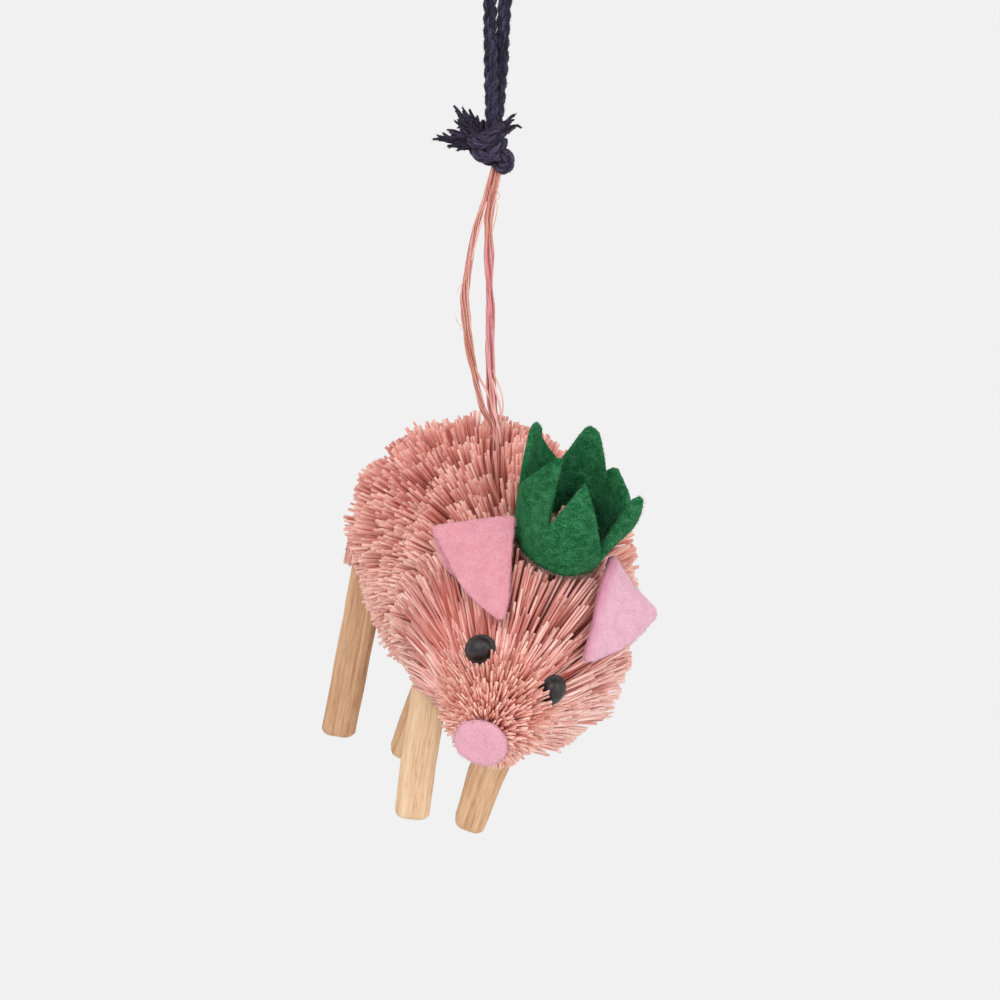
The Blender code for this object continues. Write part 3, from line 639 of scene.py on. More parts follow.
def fray(name, node, start, tips, spread, fill, thick):
    """Unlaid yarns that splay from the knot: some for each tip, and shorter ones that fill the mass between."""
    tips = np.array(tips, float)
    pairs = CHANCE.integers(0, len(tips), (fill, 2))
    between = 0.5 * (tips[pairs[:, 0]] + tips[pairs[:, 1]])
    ends = np.concatenate([np.repeat(tips, len(FRAY_REACHES), axis=0), between])
    count = len(ends)
    reach = np.concatenate([np.tile(FRAY_REACHES, len(tips)), CHANCE.uniform(0.5, 0.74, fill)])
    root = np.array(start) + spread * CHANCE.normal(size=(count, 3))
    end = root + (ends + 0.22 * CHANCE.normal(size=(count, 3)) - root) * reach[:, None]
    middle = 0.5 * (root + end) + 0.5 * CHANCE.normal(size=(count, 3))
    t = np.linspace(0, 1, 13)[None, :, None]
    lines = curve(t, root[:, None], middle[:, None], end[:, None])
    waves, phase = CHANCE.uniform(1.0, 2.4, (count, 1, 1)), CHANCE.uniform(0, 1, (count, 1, 1))
    turn = 2 * math.pi * (t * waves + phase)
    lines = lines + 0.12 * np.concatenate([np.cos(turn), np.sin(turn), np.cos(turn + 1.0)], 2)
    lines = lines + 0.4 * np.clip((t - 0.8) / 0.2, 0, 1) ** 2 * unit(CHANCE.normal(size=(count, 1, 3)))
    width = thick * np.interp(t[0, :, 0], [0, 0.6, 0.93, 1], [1.0, 0.95, 0.92, 0.76])
    width = width[None] * CHANCE.uniform(0.8, 1.15, (count, 1))
    mesh = strand_mesh(lines, width, 0.9 * width, 7, CHANCE.uniform(0, 0.55, count))
    mesh = joined([mesh, cotton_fuzz(lines, 22 * count, 0.8)])
    piece(name, mesh, COTTON, [node], "knot")


rope_made, rope_route = rope()
knot()
fray("frayed_end_left", "rope_end_left", FRAY_LEFT_FROM, FRAY_LEFT_TIPS, spread=1.0, fill=120, thick=0.76)
fray("frayed_end_right", "rope_end_right", FRAY_RIGHT_FROM, FRAY_RIGHT_TIPS, spread=0.55, fill=18, thick=0.72)
line_length(rope_route) * MM


# Raffia loop

RAFFIA = raffia_look()
RAFFIA_LEFT = (
    (-1.7, 0.4, -63), (-2.6, 0.4, -66.2), (-3.5, 0.35, -70), (-4.9, 0.3, -73.75), (-5.8, 0.2, -76.25),
    (-6.5, 0, -79.25), (-7, 0, -81.5), (-7.75, 0, -85.75), (-8.35, 0, -90), (-8.75, 0, -94), (-8.6, 0, -97),
    (-8.35, 0, -100), (-8, 0, -104.5), (-7.4, 0, -108.5), (-6.7, 0, -112), (-6.05, 0, -116),
    (-5.1, 0, -119.5), (-3.9, 0, -122.8),
)
RAFFIA_RIGHT = (
    (-0.5, -0.4, -63), (-1.15, -0.4, -66.2), (-2.1, -0.35, -70), (-2.7, -0.3, -73.75), (-2.9, -0.2, -76.25),
    (-2.8, 0, -80.25), (-2.75, 0, -84), (-2.65, 0, -87.5), (-2.55, 0, -91), (-2.4, 0, -95), (-2.45, 0, -100),
    (-2.45, 0, -105), (-2.4, 0, -109), (-2.3, 0, -113.5), (-2.1, 0, -118), (-1.8, 0, -122.5),
)
RAFFIA_ARCH = ((-1.35, 0.25, -61.2), (-1.05, 0.0, -60.6), (-0.75, -0.25, -61.2))
RAFFIA_FOOT = np.array((-0.75, 0.0, -126.3))
# From that foot, the ends of the two strands inside the coat
RAFFIA_ENDS = (((0, 0.9, -5), (-1.1, 0.6, 0)), ((-0.2, 0, 0), (0.3, 0.2, -5)))
RAFFIA_WIDTH, RAFFIA_THICK, RAFFIA_FIBRES, RAFFIA_SIDES = 1.8, 0.16, 13, 6
# Height, half width of the bundle and width of a fibre, on the thin side and on the broad side
THIN_SIDE = np.array((
    (-127, 0.6, 0.5), (-120, 0.6, 0.5), (-114, 0.65, 0.5), (-110, 0.95, 0.5), (-106, 1, 0.5),
    (-102, 0.8, 0.5), (-99, 1.05, 0.5), (-94, 0.85, 0.5), (-88, 0.75, 0.5), (-84, 0.7, 0.5), (-80, 0.6, 0.5),
    (-76, 0.85, 0.55), (-70, 0.75, 0.6), (-62, 0.6, 0.6),
))
BROAD_SIDE = np.array((
    (-127, 0.8, 0.6), (-120, 1, 0.7), (-113, 0.9, 0.7), (-108, 1, 0.8), (-104, 0.85, 0.8), (-100, 0.8, 0.8),
    (-96.5, 1, 0.8), (-94, 0.85, 0.8), (-91, 0.7, 0.75), (-88, 1.05, 0.8), (-84, 1.15, 0.85),
    (-80, 0.75, 0.75), (-76, 0.75, 0.7), (-70, 0.75, 0.6), (-62, 0.6, 0.6),
))
# Route and width of fibres that leave the bundle for a while or for good
STRAY_FIBRES = (
    (((-0.6, -0.5, -65.5), (-0.8, -0.8, -67.5), (-0.05, -1.1, -69.2), (-1.15, -1.2, -70.3),
      (-0.65, -1.1, -71), (-0.8, -1, -72.9), (-1.5, -0.8, -76.4), (-2.2, -0.4, -79.4)), 0.34),
    (((-8.2, -0.3, -88.6), (-8.9, -0.5, -90.3), (-10.2, -0.6, -92), (-10.8, -0.5, -93.6)), 0.18),
    (((-11.05, -0.4, -99.1), (-10.9, -0.5, -100), (-10.3, -0.5, -101), (-9.2, -0.4, -102),
      (-8.1, -0.2, -103.4)), 0.18),
    (((-6.3, -0.3, -111.5), (-5.5, -0.6, -113.6), (-4.5, -0.8, -115.7), (-3.4, -0.7, -117.6),
      (-2.5, -0.4, -120.4)), 0.75),
    (((-1.9, -0.3, -112.5), (-0.9, -0.4, -115), (0.05, -0.5, -117.3), (0.7, -0.5, -119.9),
      (0.65, -0.4, -122.8), (-0.1, -0.2, -126)), 0.5),
    (((-2, -0.5, -114.6), (-1.2, -0.8, -117.4), (-0.3, -0.9, -120.2), (0.15, -0.8, -123.2),
      (-0.1, -0.4, -126)), 0.7),
    (((-3.2, -0.9, -70.4), (-4, -1, -73.5), (-5.2, -1, -77.5), (-6.3, -0.8, -81.5), (-7.2, -0.5, -85.5)),
     0.6),
    (((-2.2, -0.9, -66.5), (-2.7, -1.1, -70.5), (-3.2, -1, -74.5), (-3.3, -0.9, -78.5), (-3.3, -0.5, -83)),
     0.6),
)


def dyed(lines, broad):
    """Where the fibres are rose or tan: the broad side is tan at its top and rose below it."""
    height = lines[..., 2] + CHANCE.normal(0, 2.4, (len(lines), 1))
    rose = broad * np.interp(height, [-122, -116, -84, -81], [0.15, 0.75, 0.8, 0.0])
    broad_tan = np.interp(height, [-84, -81, -76, -71], [0.0, 0.8, 0.7, 0.1])
    thin_heights = [-118, -114, -107, -103, -96, -92, -86]
    thin_tan = np.interp(height, thin_heights, [0.2, 0.9, 0.9, 0.2, 0.2, 0.5, 0.0])
    tan = np.where(broad, broad_tan, thin_tan)
    shade = CHANCE.uniform(0.15, 1.0, (len(lines), 1))
    fields = {"rose": rose, "tan": tan}
    return {key: np.repeat((value * shade).ravel(), RAFFIA_SIDES) for key, value in fields.items()}


def raffia_bundle(line):
    """The fibres of the loop, with three broad ones behind that close the bundle."""
    arc = arc_along(line)
    broad = arc > arc[line[:, 2].argmax()]
    half, fibre = (np.where(broad, np.interp(line[:, 2], BROAD_SIDE[:, 0], BROAD_SIDE[:, k]),
                            np.interp(line[:, 2], THIN_SIDE[:, 0], THIN_SIDE[:, k])) for k in (1, 2))
    end_taper = np.interp(np.minimum(arc, arc[-1] - arc), (0.0, 4.0), (0.3, 1.0))
    depth_way = np.array((0.0, 1.0, 0.0))
    way = unit(np.cross(np.gradient(line, axis=0), depth_way))
    lines, widths = [], []
    for k in range(RAFFIA_FIBRES):
        start, pitch = CHANCE.uniform(-0.3, 0.3), CHANCE.uniform(0.05, 0.085)
        phase = 2 * math.pi * k / RAFFIA_FIBRES + start + pitch * arc
        across = half * np.cos(phase) + 0.16 * np.sin(0.45 * arc + 0.9 * k) * np.sin(0.13 * arc)
        deep = 0.55 * np.sin(phase) + 0.12 * np.sin(0.2 * arc + 2 * k)
        lines.append(line + across[:, None] * way + deep[:, None] * depth_way)
        turning = 0.72 + 0.28 * np.sin(0.11 * arc + 2.4 * k)
        widths.append(fibre * CHANCE.uniform(0.75, 1.2) * turning * end_taper)
    for place in (-0.45, 0.0, 0.45):
        lines.append(line + (place * half)[:, None] * way + np.array((0.0, 0.12, 0.0)))
        widths.append(1.1 * half)
    return np.array(lines), np.array(widths), broad


def raffia():
    from_left, to_right = (RAFFIA_FOOT + np.array(ends) for ends in RAFFIA_ENDS)
    route = smooth_line([*from_left, *RAFFIA_LEFT[::-1], *RAFFIA_ARCH, *RAFFIA_RIGHT, *to_right], 3)
    lines, widths, broad = raffia_bundle(spaced(smooth_line(route, 4), 190))
    count = len(lines)
    front = np.tile(np.array((1.0, 0.15, 0.0)), (count, 1)) + 0.25 * CHANCE.normal(size=(count, 3))
    # The three broad fibres behind get dark tints, as painted shade in the gaps of the bundle.
    tints = np.concatenate([CHANCE.uniform(0, 1, RAFFIA_FIBRES), [0.1, 0.25, 0.1]])
    mesh = strand_mesh(lines, widths, RAFFIA_THICK, RAFFIA_SIDES, tints, front)
    mesh[2].update(dyed(lines, broad[None]))
    parts = [mesh]
    for controls, width in STRAY_FIBRES:
        stray = spaced(smooth_line(controls, 8), 26)[None]
        thin = width * np.interp(np.linspace(0, 1, 26), (0.0, 0.1, 0.75, 1.0), (0.45, 1.0, 0.95, 0.2))[None]
        tint = CHANCE.uniform(0.1, 0.9, 1)
        mesh = strand_mesh(stray, thin, RAFFIA_THICK, RAFFIA_SIDES, tint, np.array([[1.0, 0.2, 0.0]]))
        mesh[2].update(dyed(stray, np.array([[False]])))
        parts.append(mesh)
    flat = lines.reshape(-1, 3)
    hairs = fuzz_mesh(flat, CHANCE.normal(size=flat.shape), length=1.5, width=0.08, count=60, lie=0.7)
    hairs[2].update({"rose": np.zeros(len(hairs[0])), "tan": np.full(len(hairs[0]), 0.3)})
    made = piece("raffia_strands", joined(parts + [hairs]), RAFFIA, ["raffia_loop"], None)
    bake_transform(made)
    line_length(route) * MM


raffia()


# Spine of the brush. A station is a distance along it, from the rump to the nose.

SPINE = (
    (-13.7, 33.3, -147.4), (-8.8, 22.5, -152.7), (3.95, -5.5, -166.2), (4.1, -23.5, -180.5),
    (-0.6, -38.7, -192.2), (-2.3, -44.5, -197.1), (-4.1, -50.4, -200.4),
)
BODY_UP = np.array((0.253, -0.318, 0.914))
HEAD_UP = np.array((0.417, -0.644, 0.642))
MIDDLE_STATION, NECK_STATION, NECK_LENGTH = 50.0, 45.0, 30.0
TIP_STATIONS = (-2, -1, 0, 3, 8, 14, 30, 46, 56, 63, 69, 86, 93, 98, 102, 104)
TIP_RADII = (1.5, 7, 11, 22, 28.5, 32, 32.5, 33, 32, 31, 30.3, 15.4, 13.8, 12.2, 9.6, 7.4)
SPINE_LINE = smooth_line(SPINE, 60)
SPINE_ARC = arc_along(SPINE_LINE)
SPINE_LENGTH = float(SPINE_ARC[-1])


def spine_point(station):
    """Points of the spine; past its ends it runs on straight."""
    station = np.asarray(station, float)
    inside = np.clip(station, 0, SPINE_LENGTH)
    at = np.stack([np.interp(inside, SPINE_ARC, SPINE_LINE[:, k]) for k in range(3)], -1)
    first, last = unit(SPINE_LINE[3] - SPINE_LINE[0]), unit(SPINE_LINE[-1] - SPINE_LINE[-4])
    at = at + np.minimum(station, 0)[..., None] * first
    return at + np.maximum(station - SPINE_LENGTH, 0)[..., None] * last


def spine_frame(station):
    """Origin, forward, the pig's left and up at some stations of the spine."""
    station = np.asarray(station, float)
    forward = unit(spine_point(station + 1.5) - spine_point(station - 1.5))
    share = np.clip((station - NECK_STATION) / NECK_LENGTH, 0, 1)[..., None]
    up = (1 - share) * BODY_UP + share * HEAD_UP
    up = unit(up - (up * forward).sum(-1, keepdims=True) * forward)
    return spine_point(station), forward, np.cross(up, forward), up


def around_spine(station, angle, radius):
    """The point at an angle round the spine, from the pig's left towards its back, and a distance from it."""
    at, _, left, up = spine_frame(station)
    radius = np.asarray(radius, float)[..., None]
    return at + radius * (np.cos(angle)[..., None] * left + np.sin(angle)[..., None] * up)


def tip_radius(station):
    return np.interp(station, TIP_STATIONS, TIP_RADII)


def tip_slope(station):
    """How long the trimmed outline is for a millimetre of the spine."""
    return math.hypot(1.0, abs(tip_radius(station + 0.5) - tip_radius(station - 0.5)))


# What the bristles stop at

LEG_WIDTH, LEG_DEPTH, LEG_LENGTH, LEG_BACK = 9.0, 8.2, 56.0, 0.3235
# Foot and sideways lean in degrees of each leg
LEGS = {
    "leg_front_right": ((-21.6, 6.0, -223.4), 8.0),
    "leg_front_left": ((-6.9, 14.0, -227.9), 22.0),
    "leg_rear_right": ((-42.2, 37.7, -205.6), 10.5),
    "leg_rear_left": ((-25.1, 45.7, -213.5), 21.6),
}
# How far each leg stands over to the pig's right of its straight line, at four shares of its height
SWAY_HEIGHTS = (0.0, 0.26, 0.6, 1.0)
LEG_SWAY = {
    "leg_front_right": (0.85, 0.95, 0.2, 0.0),
    "leg_front_left": (1.35, 2.0, 1.35, 0.6),
    "leg_rear_right": (0.6, 0.0, -0.55, -0.5),
    "leg_rear_left": (-0.2, 0.3, 0.2, 0.0),
}
# Each ear's rooted edge, from its lower to its upper corner, and its free corner
EARS = {
    "ear_right": np.array(((0.9, -46.0, -172.8), (3.1, -41.0, -148.5), (-15.7, -38.5, -151.3))),
    "ear_left": np.array(((19.4, -42.5, -182.2), (26.6, -38.5, -157.9), (37.2, -33.5, -171.4))),
}
EYES = {"eye_right": (-4.65, -44.3, -179.5), "eye_left": (12.8, -42.5, -189.0)}
CROWN_CENTRE = np.array((14.0, -33.5, -155.2))
CROWN_AXIS = unit((0.26, -0.615, 0.744))
CROWN_FRONT = unit(np.array((0.0, -1.0, 0.0)) + CROWN_AXIS[1] * CROWN_AXIS)
CROWN_RIGHT = np.cross(CROWN_AXIS, CROWN_FRONT)
CROWN_RADIUS, CROWN_FLARE = 11.1, 0.12
EYE_RADIUS, NOSE_RADIUS, NOSE_HEIGHT, EAR_CLEARANCE = 3.55, 6.0, 6.0, 0.9
TIE_RADIUS, TIE_STATION = 2.1, 37.2


def leg_frame(name):
    """Foot, top, and the directions up, across and deep of a leg."""
    foot, lean = LEGS[name]
    sideways = math.sqrt(1 - LEG_BACK**2)
    lean = math.radians(lean)
    down = np.array((-math.sin(lean) * sideways, LEG_BACK, -math.cos(lean) * sideways))
    foot = np.array(foot)
    top = foot - LEG_LENGTH * down
    up = unit(top - foot)
    across = unit(np.array((1.0, 0.0, 0.0)) - up[0] * up)
    return foot, top, up, across, np.cross(up, across)


LEG_UP = leg_frame("leg_front_right")[2]


def ear_frame(name):
    """An ear's lower corner, and its directions along its rooted edge, away from it, and out of its face."""
    low, high, free = EARS[name]
    along = unit(high - low)
    normal = unit(np.cross(high - low, free - low))
    out = np.cross(normal, along)
    if out @ (free - low) < 0:
        out = -out
    if normal[1] > 0:
        normal = -normal
    return low, along, out, normal


def eye_facing(name):
    centre = np.array(EYES[name])
    nearest = SPINE_ARC[np.linalg.norm(SPINE_LINE - centre, axis=1).argmin()]
    outward = unit(centre - spine_point(nearest))
    return unit(0.75 * spine_frame(nearest)[1] + 0.65 * outward)


def in_leg(points):
    inside = np.zeros(points.shape[:-1], bool)
    for name in LEGS:
        foot, _, up, across, deep = leg_frame(name)
        away = points - foot
        x, y, z = away @ across, away @ deep, away @ up
        x = x + np.interp(z / LEG_LENGTH, SWAY_HEIGHTS, LEG_SWAY[name])
        corner = (np.abs(x) / (LEG_WIDTH / 2 + 0.1)) ** 4 + (np.abs(y) / (LEG_DEPTH / 2 + 0.1)) ** 4
        inside |= (corner < 1) & (z > 0) & (z < LEG_LENGTH)
    return inside


def in_eye(points):
    inside = np.zeros(points.shape[:-1], bool)
    for name, centre in EYES.items():
        height, radius = from_axis(points, np.array(centre), eye_facing(name))
        inside |= (radius < EYE_RADIUS) & (height > -1.2) & (height < 3.0 - 0.12 * radius**2)
    return inside


def in_crown(points):
    height, radius = from_axis(points, CROWN_CENTRE, CROWN_AXIS)
    wall = CROWN_RADIUS + CROWN_FLARE * height
    band = (np.abs(radius - wall + 0.5) < 1.5) & (height > -0.4) & (height < 16)
    ceiling = 5.0 + 3.0 * np.sin(1.7 * points[..., 0]) * np.sin(2.3 * points[..., 2])
    return band | ((radius < wall) & (height > ceiling) & (height < 26))


def in_nose(points):
    height, radius = from_axis(points, *spine_frame(SPINE_LENGTH)[:2])
    return (radius < NOSE_RADIUS + 0.5) & (height > 0.1) & (height < NOSE_HEIGHT)


def in_raffia(points):
    away = np.hypot(points[..., 0] - RAFFIA_FOOT[0], points[..., 1])
    height = points[..., 2]
    return (away < TIE_RADIUS + 0.2) & (height > spine_point(TIE_STATION)[2]) & (height < RAFFIA_FOOT[2] + 14)


def through_ear(before, after):
    """Which of the steps from before to after pass through an ear's sheet, or end close to it."""
    crossed = np.zeros(before.shape[:-1], bool)
    for name, (low, high, free) in EARS.items():
        normal = ear_frame(name)[3]
        first = (before - low) @ normal + EAR_CLEARANCE
        second = (after - low) @ normal + EAR_CLEARANCE
        share = np.clip(first / np.where(np.abs(first - second) < 1e-9, 1, first - second), 0, 1)
        at = before + share[..., None] * (after - before) - low
        e, f = high - low, free - low
        ee, ef, ff = e @ e, e @ f, f @ f
        ae, af = at @ e, at @ f
        a = (ae * ff - af * ef) / (ee * ff - ef**2)
        b = (af * ee - ae * ef) / (ee * ff - ef**2)
        crossed |= (first < 0) & (second > 0) & (a > -0.05) & (b > -0.05) & (a + b < 1.05)
    return crossed


# Bristles

# Where a tip at a station is rooted on the wire
ROOT_TIPS = (-2, 0, 3, 8, 14, 20, 30, 46, 54, 58, 62, 66, 70, 76, 86)
ROOT_PLACES = (13, 13.5, 15, 17.5, 20.5, 24, 31, 46, 55.5, 63, 75, 85, 90.5, 94, 98)
SNOUT_FROM, SNOUT_TO, SNOUT_ROW, ROD_PITCH = 84.5, 104.4, 1.05, 1.0
SNOUT_TIPS = (84, 90, 95, 100, 104)
SNOUT_PLACES = (91, 94.5, 96.5, 99, 102)
# Where the trimmed shape is fuller or flatter: station, angle in degrees, their spreads, and millimetres
SWELLS = (
    (20, 160, 26, 62, 2), (15, 140, 18, 32, 2), (14, 172, 12, 22, 0.9), (14, 112, 10, 8, -1.2),
    (14, 207, 14, 20, -1.4), (40, 215, 16, 30, 3.2), (64, 45, 12, 34, -3.2), (55, 16, 14, 22, -1.8),
    (56, 10, 8, 14, -0.7), (69, 4, 9, 12, -1.7), (70, -20, 8, 10, 1.2), (77, -46, 11, 13, 5.2),
    (103, 235, 4.5, 65, -2.4),
)
# How far the middle of a strand may stand aside to pass a leg
DETOURS = (7.0, -7.0, 12.0, -12.0, 18.0, -18.0, 25.0, -25.0)
# Painted light: how much lighter a part is low on it than high on it, and over what height it changes
LOW_LIGHT_LIFT, LOW_LIGHT_SPAN = 0.22, 14.0
SNOUT_LOW_LIGHT_LIFT, SNOUT_LOW_LIGHT_SPAN, SNOUT_LEVEL = 0.2, 6.0, -197.0
# Sections of a strand: how thick it is at its root and along it, up to just under its tip
TAPER = (0.75, 0.92, 1.0)

# root, half and reach give each look's painted shade towards the strands' roots.
BODY_LOOK = fibre_look("body_bristle", (206, 124, 112), (230, 157, 145), (251, 206, 193),
                       root=(220, 126, 112), half=(239, 206, 199), reach=0.67)
HEAD_LOOK = fibre_look("head_bristle", (190, 106, 95), (235, 172, 163), (252, 216, 207),
                       root=(184, 8, 6), half=(245, 217, 210), reach=0.84)
SNOUT_LOOK = fibre_look("snout_bristle", (210, 134, 117), (236, 170, 155), (249, 206, 192),
                        root=(180, 34, 28), half=(226, 170, 160), reach=0.8)


def trimmed_radius(stations, angles):
    """How far the trimmed tips stand from the wire."""
    radius = tip_radius(stations)
    for station, angle, long_spread, round_spread, gain in SWELLS:
        turn = (np.degrees(angles) - angle + 180.0) % 360.0 - 180.0
        radius = radius + gain * np.exp(-((stations - station) / long_spread) ** 2 - (turn / round_spread) ** 2)
    return radius


def bristle_lines(tips, angles, radii, roots, start, bend, swing):
    """Curved strands from the wire to their tips, each one cut short at what stands in its way."""
    end = around_spine(tips, angles, radii)
    inner = around_spine(roots, angles + swing, np.full(len(tips), 1.6))
    straight = 0.5 * (inner + end)
    outward = around_spine(roots, angles + 0.5 * swing, 0.55 * radii)
    middle = straight + bend * (outward - straight)
    t = np.linspace(start, 1, 15)[None, :, None]

    def through(middle):
        return curve(t, inner[:, None], middle[:, None], end[:, None])

    met = in_leg(through(middle)).any(1)
    for away in DETOURS:
        beside = middle + away * unit(np.cross(end - inner, LEG_UP))
        clear = met & ~in_leg(through(beside)).any(1)
        middle = np.where(clear[:, None], beside, middle)
        met &= ~clear
    path = through(middle)
    blocked = in_leg(path) | in_eye(path) | in_crown(path) | in_nose(path) | in_raffia(path)
    blocked[:, 1:] |= through_ear(path[:, :-1], path[:, 1:])
    first = np.where(blocked.any(1), blocked.argmax(1), 15)
    kept = first > 5
    stop = start + (1 - start) * np.clip(first - 1, 0, 14) / 14.0
    t = start + (stop[kept, None, None] - start) * np.array((0.0, 0.36, 0.7, 1.0))[None, :, None]
    return curve(t, inner[kept, None], middle[kept, None], end[kept, None]), kept


def bundle_centres(first, last, step, width, stray):
    """Stations and angles of the bundles, in staggered rows over the trimmed shape."""
    stations, angles = [], []
    row, odd = first + 0.3, 0
    while row < last:
        advance = step / tip_slope(row)
        count = max(3, round(2 * math.pi * float(tip_radius(row)) / width))
        angles.append((np.arange(count) + 0.5 * odd + CHANCE.normal(0, stray, count)) * 2 * math.pi / count)
        stations.append(row + CHANCE.normal(0, 1.9 * stray * advance, count))
        row += advance
        odd = 1 - odd
    return np.clip(np.concatenate(stations), first, last), np.concatenate(angles)


def strands_of(lines, angles, tints, section, stray=0.3, tip=0.97):
    """The strands as a mesh, their flat sides lying round the brush."""
    wide, deep, sides = section
    _, _, left, up = spine_frame(MIDDLE_STATION)
    facing = -np.sin(angles)[:, None] * left + np.cos(angles)[:, None] * up
    facing = facing + stray * CHANCE.normal(size=facing.shape)
    scale = CHANCE.uniform(0.78, 1.2, (len(lines), 1))
    taper = np.array((*TAPER, tip))
    return strand_mesh(lines, wide * scale * taper, deep * scale * taper, sides, tints, facing)


def coat(part, first, last, look, bundle, rows, section, course):
    """One slice of the brush: bundles of strands that lie side by side and are cut off together."""
    strands, pitch = bundle
    start, bend, level = course
    step = rows[0]
    stations, turns = bundle_centres(first, last, *rows)
    bundles = len(stations)
    sizes = CHANCE.integers(strands - 2, strands + 3, bundles)
    of = np.repeat(np.arange(bundles), sizes)
    order = np.concatenate([np.arange(size) - 0.5 * (size - 1) for size in sizes])
    lower = np.where(CHANCE.uniform(size=bundles) < 0.3, CHANCE.uniform(0.84, 0.95, bundles), 1.0)
    height = lower * CHANCE.normal(0.985, 0.014, bundles)
    aslant = CHANCE.normal(0, 0.004, bundles)
    tips = np.clip(stations[of] + CHANCE.normal(0, 0.42 * step, len(of)), first - 0.2, last + 0.2)
    spread = pitch * order + CHANCE.normal(0, 0.16, len(of))
    angles = turns[of] + spread / np.maximum(tip_radius(tips), 6.0)
    factor = height[of] + aslant[of] * order + CHANCE.normal(0, 0.007, len(of))
    radii = trimmed_radius(tips, angles) * np.clip(factor, 0.8, 1.03)
    roots = np.interp(tips, ROOT_TIPS, ROOT_PLACES) + CHANCE.normal(0, 1.1, bundles)[of]
    roots = roots + CHANCE.normal(0, 0.7, len(of))
    swing = CHANCE.normal(0, 0.25, bundles)[of]
    lines, kept = bristle_lines(tips, angles, radii, roots, start, bend, swing)
    tints = 0.55 * CHANCE.uniform(0, 1, bundles)[of] + 0.5 * CHANCE.uniform(0, 1, len(of))
    # Painted light: strands low on the part get a paler tint and less of the painted root shade.
    painted_light = np.tanh((level - lines[:, -1, 2]) / LOW_LIGHT_SPAN)
    tints = np.clip(tints[kept] + LOW_LIGHT_LIFT * painted_light, 0, 1)
    mesh = strands_of(lines, angles[kept], tints, section)
    along = mesh[2]["along"]
    along += 0.55 * np.repeat(np.clip(painted_light, 0, 1), 4 * section[2]) * (1 - along)
    piece(part + "_bristles", mesh, look, ["bristles_" + part])


def snout():
    """The snout's short rods, closer together, round the nose."""
    tips, angles = [], []
    station = SNOUT_FROM
    while station < SNOUT_TO:
        count = int(2 * math.pi * float(tip_radius(station)) / ROD_PITCH)
        angles.append(2 * math.pi * (np.arange(count) + CHANCE.uniform(0, 1, count)) / count)
        tips.append(station + CHANCE.normal(0, 0.5, count))
        station += SNOUT_ROW / tip_slope(station)
    tips, angles = np.concatenate(tips), np.concatenate(angles)
    radii = trimmed_radius(tips, angles) * CHANCE.uniform(0.82, 1.04, len(tips))
    roots = np.interp(tips, SNOUT_TIPS, SNOUT_PLACES)
    lines, kept = bristle_lines(tips, angles, radii, roots, 0.2, 0.1, 0.12 * CHANCE.normal(size=len(tips)))
    # Painted light: rods low on the snout get a paler tint.
    painted_light = SNOUT_LOW_LIGHT_LIFT * np.tanh((SNOUT_LEVEL - lines[:, -1, 2]) / SNOUT_LOW_LIGHT_SPAN)
    tints = np.clip(CHANCE.uniform(0, 1, kept.sum()) + painted_light, 0, 1)
    mesh = strands_of(lines, angles[kept], tints, (0.72, 0.64, 5), 1.0, 0.66)
    piece("snout_bristles", mesh, SNOUT_LOOK, ["bristles_snout"])


def leg_cover(name, count):
    """Strands of the coat that lie down over the top of a leg."""
    _, top, up, across, _ = leg_frame(name)
    top = top - LEG_SWAY[name][-1] * across
    outward = top - spine_point(14.0)
    outward = unit(outward - outward @ up * up)
    side = np.cross(up, outward)
    turn = CHANCE.normal(0, 0.85, (count, 1))
    fall = (12.5 * CHANCE.uniform(0.0, 1.0, (count, 1)) ** 1.6 - 3.0) * np.cos(0.6 * turn)
    way = np.cos(turn) * outward + np.sin(turn) * side
    tips = top - fall * up + (5.3 + CHANCE.uniform(0.0, 1.5, (count, 1))) * way
    bends = top + (3.2 + CHANCE.uniform(-0.6, 1.6, (count, 1))) * up + 7.2 * way
    roots = top + CHANCE.uniform(4.0, 8.0, (count, 1)) * up - 9.0 * outward + 3.0 * np.sin(turn) * side
    t = np.array((0.15, 0.5, 0.78, 1.0))[None, :, None]
    lines = curve(t, roots[:, None], bends[:, None], tips[:, None])
    angles = np.full(count, 3.3) + 0.4 * CHANCE.normal(size=count)
    mesh = strands_of(lines, angles, CHANCE.uniform(0, 1, count), (1.0, 0.42, 4))
    piece("leg_cover_bristles", mesh, BODY_LOOK)


def core_mesh(first, last, share, rows, columns=40):
    """The packed roots of one slice, dark with painted shade, as a closed turned body well inside the tips."""
    s, a = np.meshgrid(np.linspace(first, last, rows), full_turn(columns), indexing="ij")
    rounded = np.sqrt(np.clip((s - first + 0.3) / 9.0, 0, 1))
    radius = share * tip_radius(s) * rounded * CHANCE.uniform(0.96, 1.04, s.shape)
    skin = around_spine(s, a, radius).reshape(-1, 3)
    return skin, closed_faces(rows, columns), plain_values(skin)


# Strands in a bundle and their pitch; row step, bundle width and straying; strand width, thickness and
# sides; where a strand starts, how it bends, and the height under which it gets painted light
BODY = BODY_LOOK, (5, 0.98), (3.0, 4.5, 0.55), (1.05, 0.42, 4)
coat("rump", -2.0, 17.0, *BODY, (0.3, 0.3, -150.0))
coat("middle", 17.0, 46.0, *BODY, (0.35, 0.2, -150.0))
coat("shoulder", 46.0, 60.0, BODY_LOOK, (4, 0.92), (2.9, 3.9, 0.55), (1.0, 0.46, 4), (0.3, 0.2, -155.0))
coat("head", 60.0, 85.5, HEAD_LOOK, (4, 0.9), (2.8, 4.3, 0.5), (0.78, 0.64, 5), (0.16, 0.3, -182.0))
snout()
leg_cover("leg_rear_right", 420)
CORES = ((11.0, 62.0, 0.4, 24), (62.3, 84.0, 0.36, 12), (84.3, 102.5, 0.4, 10))
piece("bristle_roots", joined([core_mesh(*core) for core in CORES]), root_shade_look())


# Wooden legs

LEG_SECTION = ((1, 0.55), (0.62, 1), (-0.55, 1), (-1, 0.6), (-1, -0.62), (-0.6, -1), (0.58, -1), (1, -0.5))


